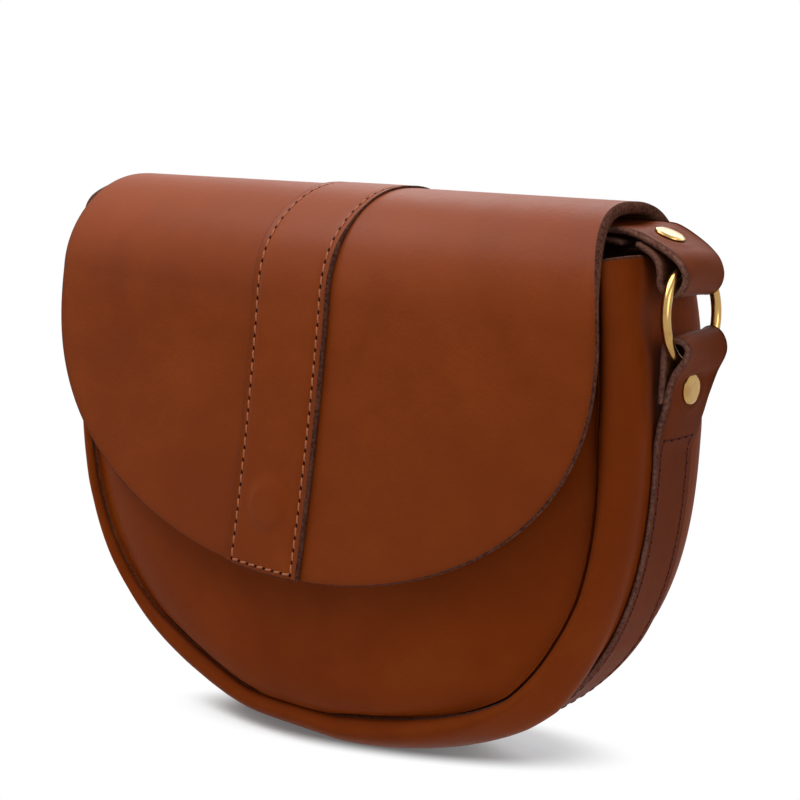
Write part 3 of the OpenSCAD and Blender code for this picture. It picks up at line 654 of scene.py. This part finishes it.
def gusset_grid(depth):
    """A row across the gusset at each place of the seam, on the grain side at depth 0. It is a round
    with a flattened top, whose sides swell out in front and behind."""
    angles = np.radians(np.linspace(-90, 90, gusset_cols))
    y_side = np.sign(angles)
    place = y_side * np.abs(np.sin(angles)) ** 0.5
    rows = []
    for (x, z), out in zip(whole_seam, seam_out):
        low, high, flat = front_y(z) + depth, back_y(z) - depth, bulge_at(z) - depth
        full = bulge_at(z) * 1.04 - depth
        reach = np.minimum(flat, full * np.cos(angles))
        share = clamp(reach / flat)
        facing = math.degrees(math.atan2(out[0], -out[1]))
        belly = np.where(y_side < 0, np.interp(facing, belly_angles, belly_reach), back_belly)
        belly = belly * 4 * share * (1 - share) * (0.35 + 0.65 * clamp((bulge_at(z) - 5.0) / 5.0))
        y = (low + high) / 2 + (high - low) / 2 * place + y_side * belly
        beside = clamp((front_edge_y - y) / (front_edge_y - front_y(z)))
        rolled = np.interp(facing, roll_angles, roll_reach) * np.sin(math.pi * beside ** 0.8) ** 1.3
        under_strap = strap_bed * fade(np.abs(y), 14.5, 12.5) * fade(z, 132.0, 126.0)
        sag = np.interp(round_hub(x, z), sag_angles, sag_reach)
        front = clamp(y / front_seam_y) ** 2 * (1 - share) * sag
        slim = np.interp(facing, slim_angles, slim_share) * fade(y, -14.0, -30.0)
        drawn = np.interp(facing, drawn_angles, drawn_reach) * fade(y, -22.0, 2.0) * share
        reach = reach * (1 - slim) + rolled + under_strap + front - drawn
        rows.append(np.stack([x + reach * out[0], y, z + reach * out[1]], axis=1))
    return np.array(rows)


gusset = leather_sheet("gusset_leather", gusset_grid(0.0), gusset_grid(panel_t), pouch_hide)
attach(gusset, "bag")
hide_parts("gusset")


# Gusset strap: a strap sewn round under the bag with two rows of stitches. Each end turns over a
# ring's lower bar and comes back down behind itself, where a rivet holds it.
strap_w = 24.0
strap_t = 2.4
lay_gap = 0.1
tail_gap = 0.3
bar_gap = 0.75
ring_id = 29.5
ring_wire = 3.4
ring_seat_x = 136.0
ring_seat_h = 157.9
ring_r = (ring_id + ring_wire) / 2
cap_r = 5.2
cap_clear = 1.13
leave_h = 131.1


def curve(points, steps=8):
    """A smooth line through the points."""
    p = np.asarray(points, float)
    p = np.concatenate([p[:1], p, p[-1:]])
    made = []
    for a, b, c, d in zip(p[:-3], p[1:-2], p[2:-1], p[3:]):
        for s in np.arange(steps) / steps:
            made.append((2 * b + (c - a) * s + (2 * a - 5 * b + 4 * c - d) * s * s
                         + (3 * b - a - 3 * c + d) * s ** 3) / 2)
    return np.array(made + [p[-2]])


tail_x = ring_seat_x - ring_wire / 2 - bar_gap - strap_t / 2
lay_x = tail_x + strap_t + tail_gap
loop_rivet_h = ring_seat_h - ring_wire / 2 - cap_r * cap_clear
over_gusset = whole_seam + (bulge_at(whole_seam[:, 1]) + lay_gap + strap_t / 2)[:, None] * seam_out
sewn = over_gusset[(whole_seam[:, 0] > 0) & (whole_seam[:, 1] < leave_h)]
# The loop's course at the strap's middle, at its front edge and at its back edge: between the
# ring's wire and the rivet the middle is drawn in tighter than the edges.
loop_middle = [(133.4, 137.0), (134.5, 142.0), (135.0, 146.5), (135.05, 150.3), (135.15, 153.8),
               (136.6, 156.0), (138.6, 158.2), (139.5, 161.0), (139.8, 163.6), (139.1, 166.0), (136.9, 167.9),
               (134.3, 167.3), (132.6, 164.6), (132.3, 160.0), (132.35, 152.0), (132.35, 146.2)]
loop_front = [(132.6, 137.5), (133.8, 142.3), (134.5, 146.5), (135.0, 150.5), (135.9, 154.0),
              (137.0, 156.6), (138.3, 158.5), (139.7, 160.6), (140.7, 162.9), (140.5, 164.9), (138.9, 166.4),
              (136.3, 167.0), (133.6, 166.4), (132.3, 163.5), (132.3, 154.0), (132.3, 146.2)]
loop_back = [(133.4, 137.6), (134.6, 142.2), (135.6, 146.5), (136.7, 150.3), (137.7, 153.6),
             (138.6, 156.2), (139.6, 158.4), (140.6, 160.7), (141.1, 163.1), (140.5, 165.7), (138.7, 168.1),
             (135.9, 169.0), (133.4, 167.6), (132.3, 164.0), (132.35, 154.0), (132.35, 146.2)]


def section_normals(line):
    heading = unit(np.gradient(line, axis=0))
    return np.stack([heading[:, 1], -heading[:, 0]], axis=1)


def loop_course(points):
    """One side's half of the strap, from under the bag to the end of its tail. A smooth curve
    takes over from the line of the gusset at its last places."""
    turn = curve(np.concatenate([sewn[[-9, -5, -1]], points]))
    return np.concatenate([evenly(sewn[:-8], 0.8)[:-1], turn])


strap_courses = [both_sides(loop_course(points)) for points in (loop_middle, loop_front, loop_back)]
# Drawn in with the gusset's lower right corner, the strap's back edge most and its front edge least.
for course, part in zip(strap_courses, (0.75, 0.35, 1.0)):
    out = section_normals(course)
    facing = np.degrees(np.arctan2(out[:, 0], -out[:, 1]))
    low = fade(course[:, 1], 137.0, 129.0) * (course[:, 0] > 0)
    course -= (part * np.interp(facing, drawn_angles, drawn_reach) * low)[:, None] * out

dish_r = 7.2
dish_w = 1.6


def strap_grids(courses, dishes=(), columns=26, pressed=0.0):
    """Both sides of a strap that follows one course at its middle, front edge and back edge. The
    leather round a rivet's cap stands up a little, as the rivet pulls the middle in. Where the
    strap is sewn down, it is pressed thinner from its back."""
    middle, front, back = courses
    sides = [[], []]
    for t in across(columns, 0.25):
        line = middle + (back - middle) * max(t, 0.0) ** 2 + (front - middle) * min(t, 0.0) ** 2
        out = section_normals(line)
        y = t * strap_w / 2
        for side, offset in zip(sides, (strap_t / 2, -strap_t / 2)):
            lifted = line + offset * out
            if offset < 0:
                lifted = lifted + pressed * fade(lifted[:, 1:], 132.0, 124.0) * out
            else:
                for (x, z), height in dishes:
                    gap = np.sqrt((lifted[:, 0] - x) ** 2 + y ** 2 + (lifted[:, 1] - z) ** 2)
                    lifted = lifted + (height * np.exp(-((gap - dish_r) / dish_w) ** 2))[:, None] * out
            side.append(np.stack([lifted[:, 0], np.full(len(line), y), lifted[:, 1]], axis=1))
    return [np.stack(side, axis=1) for side in sides]


strap_face, strap_back = strap_grids(strap_courses, pressed=0.65, dishes=[
    ((side * (lay_x + strap_t / 2), loop_rivet_h), 0.35) for side in (1, -1)])


def thread_look(name, tone):
    """Waxed linen thread: a tight twist that shows as slanted lines, bumped and painted darker in its grooves
    as painted shade.
    """
    look = Look(name, tone, 0.7, Specular_IOR_Level=0.1)
    at = look.coordinates()
    along = look.part_of(look.coordinates("UV"), "X")
    around = look.part_of(look.coordinates("UV"), "Y")
    twist = (along * 30.0 + around * (2 * math.pi)).math("SINE") * 0.5 + 0.5
    fuzz = look.noise(at, 1800.0, 3.0)
    # Painted shade: the twist's grooves are painted darker, with random flecks.
    look.set("Base Color", look.blend(twist * 0.6 + fuzz * 0.4, times(tone, 0.45), tone))
    look.set("Normal", look.bump(twist, 0.5, 0.0002))
    return look


thread = thread_look("waxed_thread", (0.36, 0.120, 0.055))
dark_thread = thread_look("dark_thread", (0.085, 0.012, 0.008))
# Dark discs of painted shade stand for the awl's holes between the stitches.
painted_hole_shade = fuzzy_look("painted_hole_shade", (0.018, 0.006, 0.004), (0.008, 0.003, 0.002))


def stitch_shape():
    """One stitch, 2 units long along X: a short piece of thread, as blunt as a grain of rice."""
    bpy.ops.object.select_all(action="DESELECT")
    bpy.ops.mesh.primitive_uv_sphere_add(segments=6, ring_count=6, radius=1.0)
    ball = bpy.context.object
    bpy.ops.object.mode_set(mode="EDIT")
    bpy.ops.mesh.select_all(action="SELECT")
    bpy.ops.transform.rotate(value=math.pi / 2, orient_axis="Y", center_override=(0, 0, 0))
    bpy.ops.object.mode_set(mode="OBJECT")
    points = np.array([v.co for v in ball.data.vertices])
    faces = sorted(tuple(p.vertices) for p in ball.data.polygons)
    bpy.data.objects.remove(ball)
    along = np.clip(points[:, 0], -1, 1)
    full = np.where(np.abs(along) > 0.999, 0, (1 - along ** 8) ** 0.5)
    thin = np.hypot(points[:, 1], points[:, 2])
    points[:, 1:] *= np.where(thin > 1e-6, full / np.maximum(thin, 1e-6), 0)[:, None]
    points[:, 0] = np.sign(along) * np.abs(along) ** 0.7
    return points, faces


stitch_points, stitch_faces = stitch_shape()
stitch_gap = 1.0
stitch_flat = 0.65
stitch_dip = 0.5
stitch_slant = 0.225
# The dark disc of painted shade at each awl's hole:
hole_long = 0.75
hole_wide = 0.5
hole_lean = 0.2
hole_proud = 0.06
hole_corners = 8


def line_on(grid, normals, rows, cols):
    """Places and normals on a grid's surface, at rows and columns given as fractions."""
    def pick(values):
        i = np.clip(np.floor(rows).astype(int), 0, values.shape[0] - 2)
        j = np.clip(np.floor(cols).astype(int), 0, values.shape[1] - 2)
        s, t = (rows - i)[:, None], (cols - j)[:, None]
        return ((1 - s) * ((1 - t) * values[i, j] + t * values[i, j + 1])
                + s * ((1 - t) * values[i + 1, j] + t * values[i + 1, j + 1]))
    return pick(grid), unit(pick(normals))


def at_run(s, run, values):
    return np.array([np.interp(s, run, values[:, c]) for c in range(3)])


def sew(name, lines, pitch, body, kind=thread, thickness=0.42, proud=0.16):
    """Stitches along lines of places and normals, joined as one piece of thread work. Each dips
    at both ends, and a dark disc of painted shade, standing for an awl's hole, follows it."""
    points, faces, uvs, hole_shades = [], [], [], []
    for places, normals in lines:
        run = run_along(places)
        count = max(1, int(round(run[-1] / pitch)))
        step = run[-1] / count
        for k in range(count):
            start = at_run(k * step + stitch_gap / 2, run, places)
            end = at_run((k + 1) * step - stitch_gap / 2, run, places)
            middle = at_run((k + 0.5) * step, run, places)
            normal = unit(at_run((k + 0.5) * step, run, normals))
            along = (end - start) / 2
            forward = unit(along)
            aside = unit(np.cross(normal, along))
            length, side, up = stitch_points[:, :1], stitch_points[:, 1:2], stitch_points[:, 2:]
            first = sum(len(p) for p in points)
            points.append(middle + length * along + (side * thickness + stitch_slant * length) * aside
                          + (up * thickness * stitch_flat + proud - stitch_dip * length ** 4) * normal)
            faces += [tuple(v + first for v in f) for f in stitch_faces]
            uvs += [((stitch_points[v, 0] + 1) * 0.5,
                     math.atan2(stitch_points[v, 1], stitch_points[v, 2]) / (2 * math.pi) + 0.5)
                    for f in stitch_faces for v in f]
            # A flat dark disc of painted shade where the awl's hole is.
            hole = end + stitch_gap / 2 * forward
            turns = np.arange(hole_corners) * 2 * math.pi / hole_corners
            hole_shades.append([hole + (hole_long * math.cos(a) + hole_lean * math.sin(a)) * forward
                          + hole_wide * math.sin(a) * aside + hole_proud * normal for a in turns])
    first, stitched = sum(len(p) for p in points), len(faces)
    faces += [tuple(first + hole_corners * k + c for c in range(hole_corners)) for k in range(len(hole_shades))]
    uvs += [(0.0, 0.0)] * (hole_corners * len(hole_shades))
    points.append(np.array(hole_shades).reshape(-1, 3))
    mesh = bpy.data.meshes.new(name)
    mesh.from_pydata(np.concatenate(points) * MM, [], faces)
    mesh.uv_layers.new(name="run").data.foreach_set("uv", np.array(uvs).reshape(-1))
    mesh.polygons.foreach_set("material_index", [0] * stitched + [1] * len(hole_shades))
    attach(add_object(name, mesh, (kind, painted_hole_shade), 80.0), body)


# The strap's leather too has a painted highlight, higher up on its ends.
strap_grain = leather_look("strap_leather", (0.115, 0.0215, 0.0035), (0.088, 0.0155, 0.0025), sheen=0.56,
                           specular=0.03, wax_and_sheen_from=140.0, wax_and_sheen_full=185.0, wax=0.25, painted_sheen=0.2)
strap_edge = fuzzy_look("strap_edge", (0.170, 0.075, 0.053), (0.055, 0.023, 0.016), layers=True)
strap_hide = (strap_grain, flesh_side, strap_edge)
gusset_strap = leather_sheet("gusset_strap_leather", strap_face, strap_back, strap_hide, roundness=0.7)
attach(gusset_strap, "bag")
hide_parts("gusset_strap")

# Its stitches: a row near each edge as far up as it is sewn down, and one across at each end.
front_row_y = -9.6
back_row_y = 8.5
sewn_top_h = 134.0
strap_normals = outer_normals(strap_face, strap_back)
sewn_rows = np.nonzero(strap_courses[0][:, 1] < sewn_top_h)[0]


def column_at(y):
    return np.interp(y, strap_face[len(strap_face) // 2, :, 1], np.arange(strap_face.shape[1]))


strap_lines = [line_on(strap_face, strap_normals, sewn_rows.astype(float),
                       np.full(len(sewn_rows), column_at(y))) for y in (front_row_y, back_row_y)]
for row in (sewn_rows[0], sewn_rows[-1]):
    cols = np.linspace(column_at(front_row_y), column_at(back_row_y), 20)
    strap_lines.append(line_on(strap_face, strap_normals, np.full(20, float(row)), cols))
sew("gusset_strap_thread", strap_lines, 4.9, "bag", dark_thread, thickness=0.5, proud=0.06)


# Flap: one heavy piece of leather, sewn low on the back panel, creased to turn there, folded over
# the crown and hanging free in front. Its cut edge is left raw and dark.
crown_h = 207.1
crown_half_w = 110.0
crown_left_out = 14.0
flap_half_w = 126.0
flap_low_h = 68.5
flap_low_square = 2.25
flap_front_y = 41.5
flap_back_y = 35.3
flap_flare = 9.6
front_spring_h = 167.1
front_square = 2.1
back_square = 2.6
flap_hinge_h = 162.1
hinge_half_w = 114.0
lap_drop = 29.0
lap_cut_h = 153.0
lap_gap = 0.2
skived_t = 1.7
flap_t = 3.0
crease_rise = 10.0
back_half_w = 123.5
flap_step = 1.6
flap_cols = 96
flap_middle = flap_cols // 2


def front_out(z):
    """The flap's depth in front: it flares out towards its lower edge."""
    s = (front_spring_h - z) / (front_spring_h - flap_low_h)
    return -flap_front_y - flap_flare * (0.535 * s + 0.465 * s * s)


def upper_half(z):
    """The flap's half width above its widest place."""
    return flap_half_w - 16.0 * (np.maximum(0, z - flap_widest_h) / (crown_h - flap_widest_h)) ** 2.2


# Its line at the middle, as (y, z): up from the crease behind, over the crown to where its front
# springs, and down to its lower edge. Its half width is carried along it.
turn = np.radians(np.linspace(0, 90, 61))
back_yz = np.stack([flap_back_y * np.cos(turn) ** (2 / back_square),
                    flap_hinge_h + (crown_h - flap_hinge_h) * np.sin(turn) ** (2 / back_square)], axis=1)
front_rise = (crown_h - front_spring_h) * np.cos(turn) ** (2 / front_square)
front_yz = np.stack([-flap_front_y * np.sin(turn) ** (2 / front_square), front_spring_h + front_rise], axis=1)
level_z = np.linspace(front_spring_h, flap_widest_h, 6)[1:]
level_yz = np.stack([front_out(level_z), level_z], axis=1)
top_yz = np.concatenate([back_yz[:-1], front_yz, level_yz])
back_half = crown_half_w + 4.0 * (crown_h - back_yz[:-1, 1]) / (crown_h - flap_hinge_h)
top_half = np.concatenate([back_half, upper_half(front_yz[:, 1]), upper_half(level_z)])
top_yz, top_half = evenly(top_yz, flap_step, top_half)
low_turn = np.radians(np.linspace(0, 88.4, 64)[1:])
low_z = flap_widest_h - (flap_widest_h - flap_low_h) * np.sin(low_turn) ** (2 / flap_low_square)
flap_yz = np.concatenate([top_yz, np.stack([front_out(low_z), low_z], axis=1)])
flap_half = np.concatenate([top_half[:, 0], flap_half_w * np.cos(low_turn)])


def settle(grid):
    """How this flap hangs: the crown a little lower on the left, and slow waves in the leather."""
    x, y, z = grid[..., 0], grid[..., 1], grid[..., 2]
    top = fade(z, 150.0, 200.0)
    lift = top * (-0.75 + 2.5 * x / 110.0 - 0.35 * clamp(-x / 118.0))
    wave = 0.35 * np.sin(x / 31.0 + 0.6) * np.sin(z / 37.0) * fade(y, 20.0, -20.0)
    return grid + np.stack([0 * x, -wave, lift], axis=-1)


lap_z = np.linspace(flap_hinge_h - lap_drop, flap_hinge_h, 14)
lap_leaves = fade(lap_z, lap_z[0], flap_hinge_h - flap_t / 2 - 0.3)
lap_rows = len(lap_z) - 1


def whole_flap(depth):
    """Rows from the lap's sewn edge over the crown to the lower edge, on the grain side at depth 0
    and on the flesh side at depth 1. The leather is skived thinner towards its lower edge and at
    its left corner, and the crown reaches further out on the left."""
    shares = across(flap_cols)
    rows = []
    for z, leaves in zip(lap_z[:-1], lap_leaves[:-1]):
        x = shares * hinge_half_w
        sewn_y = back_face(x / back_half_w, z) + lap_gap + flap_t
        y = (1 - leaves) * sewn_y + leaves * flap_back_y - skived_t * depth
        rows.append(np.stack([x, y, np.full(flap_cols, z)], axis=1))
    for (y, z), (ny, nz), half in zip(flap_yz, section_normals(flap_yz), flap_half):
        wider = crown_left_out * clamp((z - flap_hinge_h) / 45.0) ** 2.3
        x = shares * half - wider * clamp(-shares) ** 3
        fuller = 0.4 + 2.1 * clamp((x + 60.0) / 150.0) - 0.9 * fade(x, -98.0, -112.0)
        deep = depth * (skived_t + fade(z, 175.0, 200.0) * fuller)
        rows.append(np.stack([x, y - deep * ny, z - deep * nz], axis=1))
    return settle(np.array(rows))


flap_face, flap_back = whole_flap(0.0), whole_flap(1.0)
lap_last = int(np.argmin(np.abs(lap_z - lap_cut_h)))
free_first = lap_rows + int(np.argmin(np.abs(flap_hinge_h + crease_rise - top_yz[:20, 1])))
flap_run = run_along(flap_face[:, flap_middle])


def flap_part(name, first, last, cut):
    rows = slice(first, last + 1)
    part = leather_sheet(name, flap_face[rows], flap_back[rows], flap_hide, cut, roundness=0.55, rim_steps=6,
                         row_run=flap_run[rows])
    return part


flap_lap = flap_part("flap_lap_leather", 0, lap_last, "sew")
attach(flap_lap, "bag")
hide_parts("flap_lap")
flap_crease = flap_part("flap_crease_leather", lap_last, free_first, "ew")
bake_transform(flap_crease)
flap_leather = flap_part("flap_leather", free_first, len(flap_face) - 1, "new")
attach(flap_leather, "flap")
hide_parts("flap")

# The lap's two rows of stitches, near its lower edge and below the crease.
lap_face = flap_face[:lap_last + 1]
lap_normals = outer_normals(lap_face, flap_back[:lap_last + 1])
lap_cols = np.linspace(2.0, flap_cols - 3.0, 180)
lap_lines = [line_on(lap_face, lap_normals, np.full(len(lap_cols), row), lap_cols)
             for row in (1.4, lap_last - 1.2)]
sew("lap_thread", lap_lines, 4.6, "bag")


# Band: a strip of the same leather sewn down the middle of the flap with a row of stitches along
# each side and one across its foot. The snap's stud under it shows as a small bump.
band_half = 17.5
band_t = 2.6
band_pressed = 0.3
band_sunk = 0.2
foot_up = 0.2
band_shift = -2.2
band_start_h = 175.1
band_low_h = 72.5
band_cols = 44
left_row_x = -16.9
right_row_x = 12.3
groove_deep = 0.45
groove_w = 1.2
snap_h = 93.5
bump_r = 6.0
bump_proud = 0.8
band_x = across(band_cols, 0.15) * band_half + band_shift


def edge_z(x):
    """The height of the flap's lower edge."""
    share = (1 - (np.abs(x) / flap_half_w) ** 2) ** (1 / flap_low_square)
    return flap_widest_h - (flap_widest_h - flap_low_h) * share


def band_grid(proud):
    """Rows from the band's end behind the crown to its foot, which follows the flap's edge. It
    lies closer over the crown, where it is pulled tight."""
    rows = []
    normals = section_normals(flap_yz)
    start = int(np.argmin(np.abs(top_yz[:20, 1] - band_start_h)))
    keep = [k for k in range(start, len(flap_yz)) if flap_yz[k, 0] > 0 or flap_yz[k, 1] > band_low_h]
    for k in keep:
        drawn = 1 - 0.62 * fade(flap_yz[k, 1], 183.0, 203.0) if proud > 0 else 1.0
        y, z = flap_yz[k] + proud * drawn * normals[k]
        rows.append(np.stack([band_x, np.full(band_cols, y), np.full(band_cols, z)], axis=1))
    last_z = flap_yz[keep[-1], 1]
    for s in np.linspace(0, 1, 5)[1:]:
        z = last_z * (1 - s) + (edge_z(band_x) + foot_up) * s
        rows.append(np.stack([band_x, front_out(z) - proud, z], axis=1))
    return settle(np.array(rows))


band_face, band_back = band_grid(band_t - band_pressed), band_grid(-band_sunk)
band_normals = outer_normals(band_face, band_back)
across_band = band_face[..., 0]
groove = sum(np.exp(-((across_band - x) / groove_w) ** 2) for x in (left_row_x, right_row_x))
from_snap = np.hypot(across_band - band_shift, band_face[..., 2] - snap_h)
bump = (1 - fade(from_snap, bump_r, bump_r + 5.0)) * (band_face[..., 1] < 0)
band_face = band_face + band_normals * (bump_proud * bump - groove_deep * groove)[..., None]
band = leather_sheet("flap_band_leather", band_face, band_back, flap_hide, roundness=0.35, rim_steps=6)
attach(band, "flap")
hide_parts("flap_band")

band_rows = np.arange(2, len(band_face) - 2, dtype=float)
left_col, right_col = (np.interp(x, band_x, np.arange(band_cols)) for x in (left_row_x, right_row_x))
band_lines = [line_on(band_face, band_normals, band_rows, np.full(len(band_rows), col))
              for col in (left_col, right_col)]
for row in (2.0, len(band_face) - 3.0):
    cols = np.linspace(left_col, right_col, 20)
    band_lines.append(line_on(band_face, band_normals, np.full(20, row), cols))
sew("band_thread", band_lines, 4.5, "flap")


# Shoulder strap's ends: each comes out from under the flap, bends down round its ring's upper bar
# and returns under itself, where a rivet holds it. The left one lies lower, and doesn't twist.
right_lean = math.radians(-5)
left_lean = math.radians(11)
end_middle = [(91.7, 199.9), (107.9, 199.9), (113.1, 199.9), (119.6, 199.4), (122.5, 198.4), (125.4, 197.3),
              (128.1, 196.3), (131.5, 195.0), (134.6, 193.6), (137.0, 191.0), (137.6, 187.3), (135.8, 182.6),
              (131.6, 181.5), (129.3, 183.8), (128.4, 187.2), (127.7, 190.9), (126.0, 193.5), (122.6, 195.2),
              (119.8, 196.3)]
end_front = [(91.7, 199.9), (107.9, 199.9), (113.5, 200.0), (119.6, 198.95), (123.0, 197.8), (126.3, 196.5),
             (129.3, 195.2), (132.2, 193.7), (135.2, 191.6), (137.6, 188.3), (137.9, 185.2), (135.9, 181.9),
             (131.9, 181.1), (129.0, 183.7), (128.5, 187.4), (127.6, 190.7), (125.4, 193.2), (122.4, 194.9),
             (119.6, 196.1)]
end_back = [(91.7, 201.0), (107.9, 201.2), (113.5, 201.4), (119.3, 201.3), (122.8, 200.3), (126.2, 198.7),
            (129.8, 196.7), (133.2, 194.4), (136.2, 191.5), (137.8, 187.7), (137.3, 184.2), (135.3, 181.8),
            (131.8, 181.1), (129.5, 183.0), (128.3, 186.5), (127.0, 190.0), (124.8, 192.8), (122.0, 194.6),
            (119.6, 196.0)]
end_dish = (124.39, 198.96)


def pressed_down(course):
    """The course 1 mm lower where the crown, which is lower on the left, lies over it."""
    return course - np.stack([0 * course[:, 0], fade(course[:, 0], 118.0, 110.0)], axis=1)


def strap_end(side, body, courses, shift):
    """One end of the strap, made as the right one and turned over for the left."""
    face, back = strap_grids([course[::-1] for course in courses], dishes=[(end_dish, 0.3)])
    end = leather_sheet(body + "_leather", (face + shift) * [side, 1, 1], (back + shift) * [side, 1, 1],
                        strap_hide, roundness=0.7)
    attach(end, body)
    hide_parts(body)


middle_course, front_course, back_course = (curve(points) for points in (end_middle, end_front, end_back))
left_front = pressed_down(front_course)
left_shift = [2 * ring_r * (math.sin(left_lean) - math.sin(right_lean)) - ring_wire * 0.15, 0,
              2 * ring_r * (math.cos(left_lean) - math.cos(right_lean))]
strap_end(1, "strap_end_right", [middle_course, front_course, back_course], [0, 0, 0])
strap_end(-1, "strap_end_left", [pressed_down(middle_course), left_front, left_front], left_shift)


# Shoulder strap's length, put away: inside, it drops behind the gusset, follows it down and lies
# folded to and fro on the floor of the pouch, then climbs to the other end.
strap_level_h = 199.9
end_x = 91.74
end_clear = 1.465
wall_gap = 0.3
stow_depth = panel_t + wall_gap + strap_t / 2
stow_step = strap_t * 2.1
layers = 5
low_knots = low_seam(np.radians(90 - 90 * np.arange(1, 19) / 18))
low_knots[:, 1] = np.maximum(seam_floor, low_knots[:, 1])
knots = both_sides(np.concatenate([low_knots, high_seam(np.arange(1, 6) / 5)]))
knot_heading = unit(np.concatenate([[knots[1] - knots[0]], knots[2:] - knots[:-2], [knots[-1] - knots[-2]]]))
knot_out = np.stack([knot_heading[:, 1], -knot_heading[:, 0]], axis=1)
knot_out[knots[:, 1] <= seam_floor] = (0, -1)
# The folds lie between these two knots, and the strap comes and goes along the walls beyond them.
left_fold, right_fold = 18, 27
right_wall_knot, left_wall_knot = 40, 5


def inside(i, depth):
    """A place within the pouch, this deep behind the gusset's face at a knot."""
    return knots[i] + (bulge_at(knots[i, 1]) - depth) * knot_out[i]


def arc(centre, r, start, end, steps):
    angles = np.radians(np.linspace(start, end, steps + 1))
    return np.asarray(centre) + r * np.stack([np.cos(angles), np.sin(angles)], axis=1)


drop_r = 3 * strap_t
drop_h = strap_level_h - strap_t - end_clear
drop_turn = np.array([end_x + drop_r, drop_h - drop_r])
right_wall = [inside(i, stow_depth) for i in range(right_wall_knot, right_fold, -1)]
down_shares = np.array([[0.12, 0.22], [0.44, 0.5], [0.76, 0.72], [0.95, 0.88]])
drop = curve([(drop_turn[0] + 2 * drop_r, drop_h), (drop_turn[0] + drop_r * 0.9, drop_h - 0.12), drop_turn]
             + [drop_turn + (right_wall[0] - drop_turn) * s for s in down_shares] + [right_wall[0]], 6)
stowed = list(drop) + right_wall[1:]
for k in range(layers):
    layer = [inside(i, stow_depth + k * stow_step) for i in range(right_fold, left_fold - 1, -1)]
    stowed += layer if k % 2 == 0 else layer[::-1]
    if k < layers - 1:
        knot, side = (left_fold, -1) if k % 2 == 0 else (right_fold, 1)
        start = math.degrees(math.atan2(knot_out[knot, 1], knot_out[knot, 0]))
        centre = inside(knot, stow_depth + (k + 0.5) * stow_step)
        stowed += list(arc(centre, stow_step / 2, start, start + side * 180, 8)[1:-1])
for i in range(left_fold - 1, left_wall_knot - 1, -1):
    raised = 1 - fade(i, left_fold, left_fold - 6)
    stowed.append(inside(i, stow_depth + (layers - 1) * stow_step * raised))
stowed += list(drop[:-1][::-1] * [-1, 1])
stowed = evenly(stowed, 1.0)
for _ in range(2):
    stowed[1:-1] = (stowed[:-2] + 2 * stowed[1:-1] + stowed[2:]) / 4
shoulder_strap = leather_sheet("shoulder_strap_leather", *strap_grids([stowed] * 3, columns=12), strap_hide,
                               roundness=0.7)
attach(shoulder_strap, "bag")
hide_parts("shoulder_strap")


# Hardware: rings, rivets and snap of polished brass, with soft scratches and a little tarnish
# where fingers don't reach; the snap's magnet and washers are bright steel.
def metal_look(name, tone, dull, shine):
    look = Look(name, tone, shine, Metallic=1.0)
    at = look.coordinates()
    tarnish = look.noise(at, 180.0, 4.0, 0.6)
    scratch = look.noise(at, 2400.0, 2.0, 0.6, 1.5)
    look.set("Base Color", look.blend(tarnish.fade(0.42, 0.75), tone, dull))
    look.set("Roughness", tarnish * 0.12 + scratch * 0.06 + (shine - 0.08))
    look.set("Normal", look.bump(scratch, 0.05, 0.00005))
    return look


brass = metal_look("polished_brass", (0.46, 0.28, 0.095), (0.36, 0.20, 0.065), 0.20)
steel = metal_look("bright_steel", (0.62, 0.62, 0.64), (0.42, 0.42, 0.44), 0.28)
for name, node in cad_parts.items():
    if name.startswith(("ring_", "loop_rivet", "strap_rivet", "snap_")):
        metal, slot = brass, "brass"
        if "magnet" in name:
            metal, slot = steel, "magnet"
        elif "washer" in name:
            metal, slot = steel, "steel"
        node.data.materials.clear()
        node.data.materials.append(metal.material)
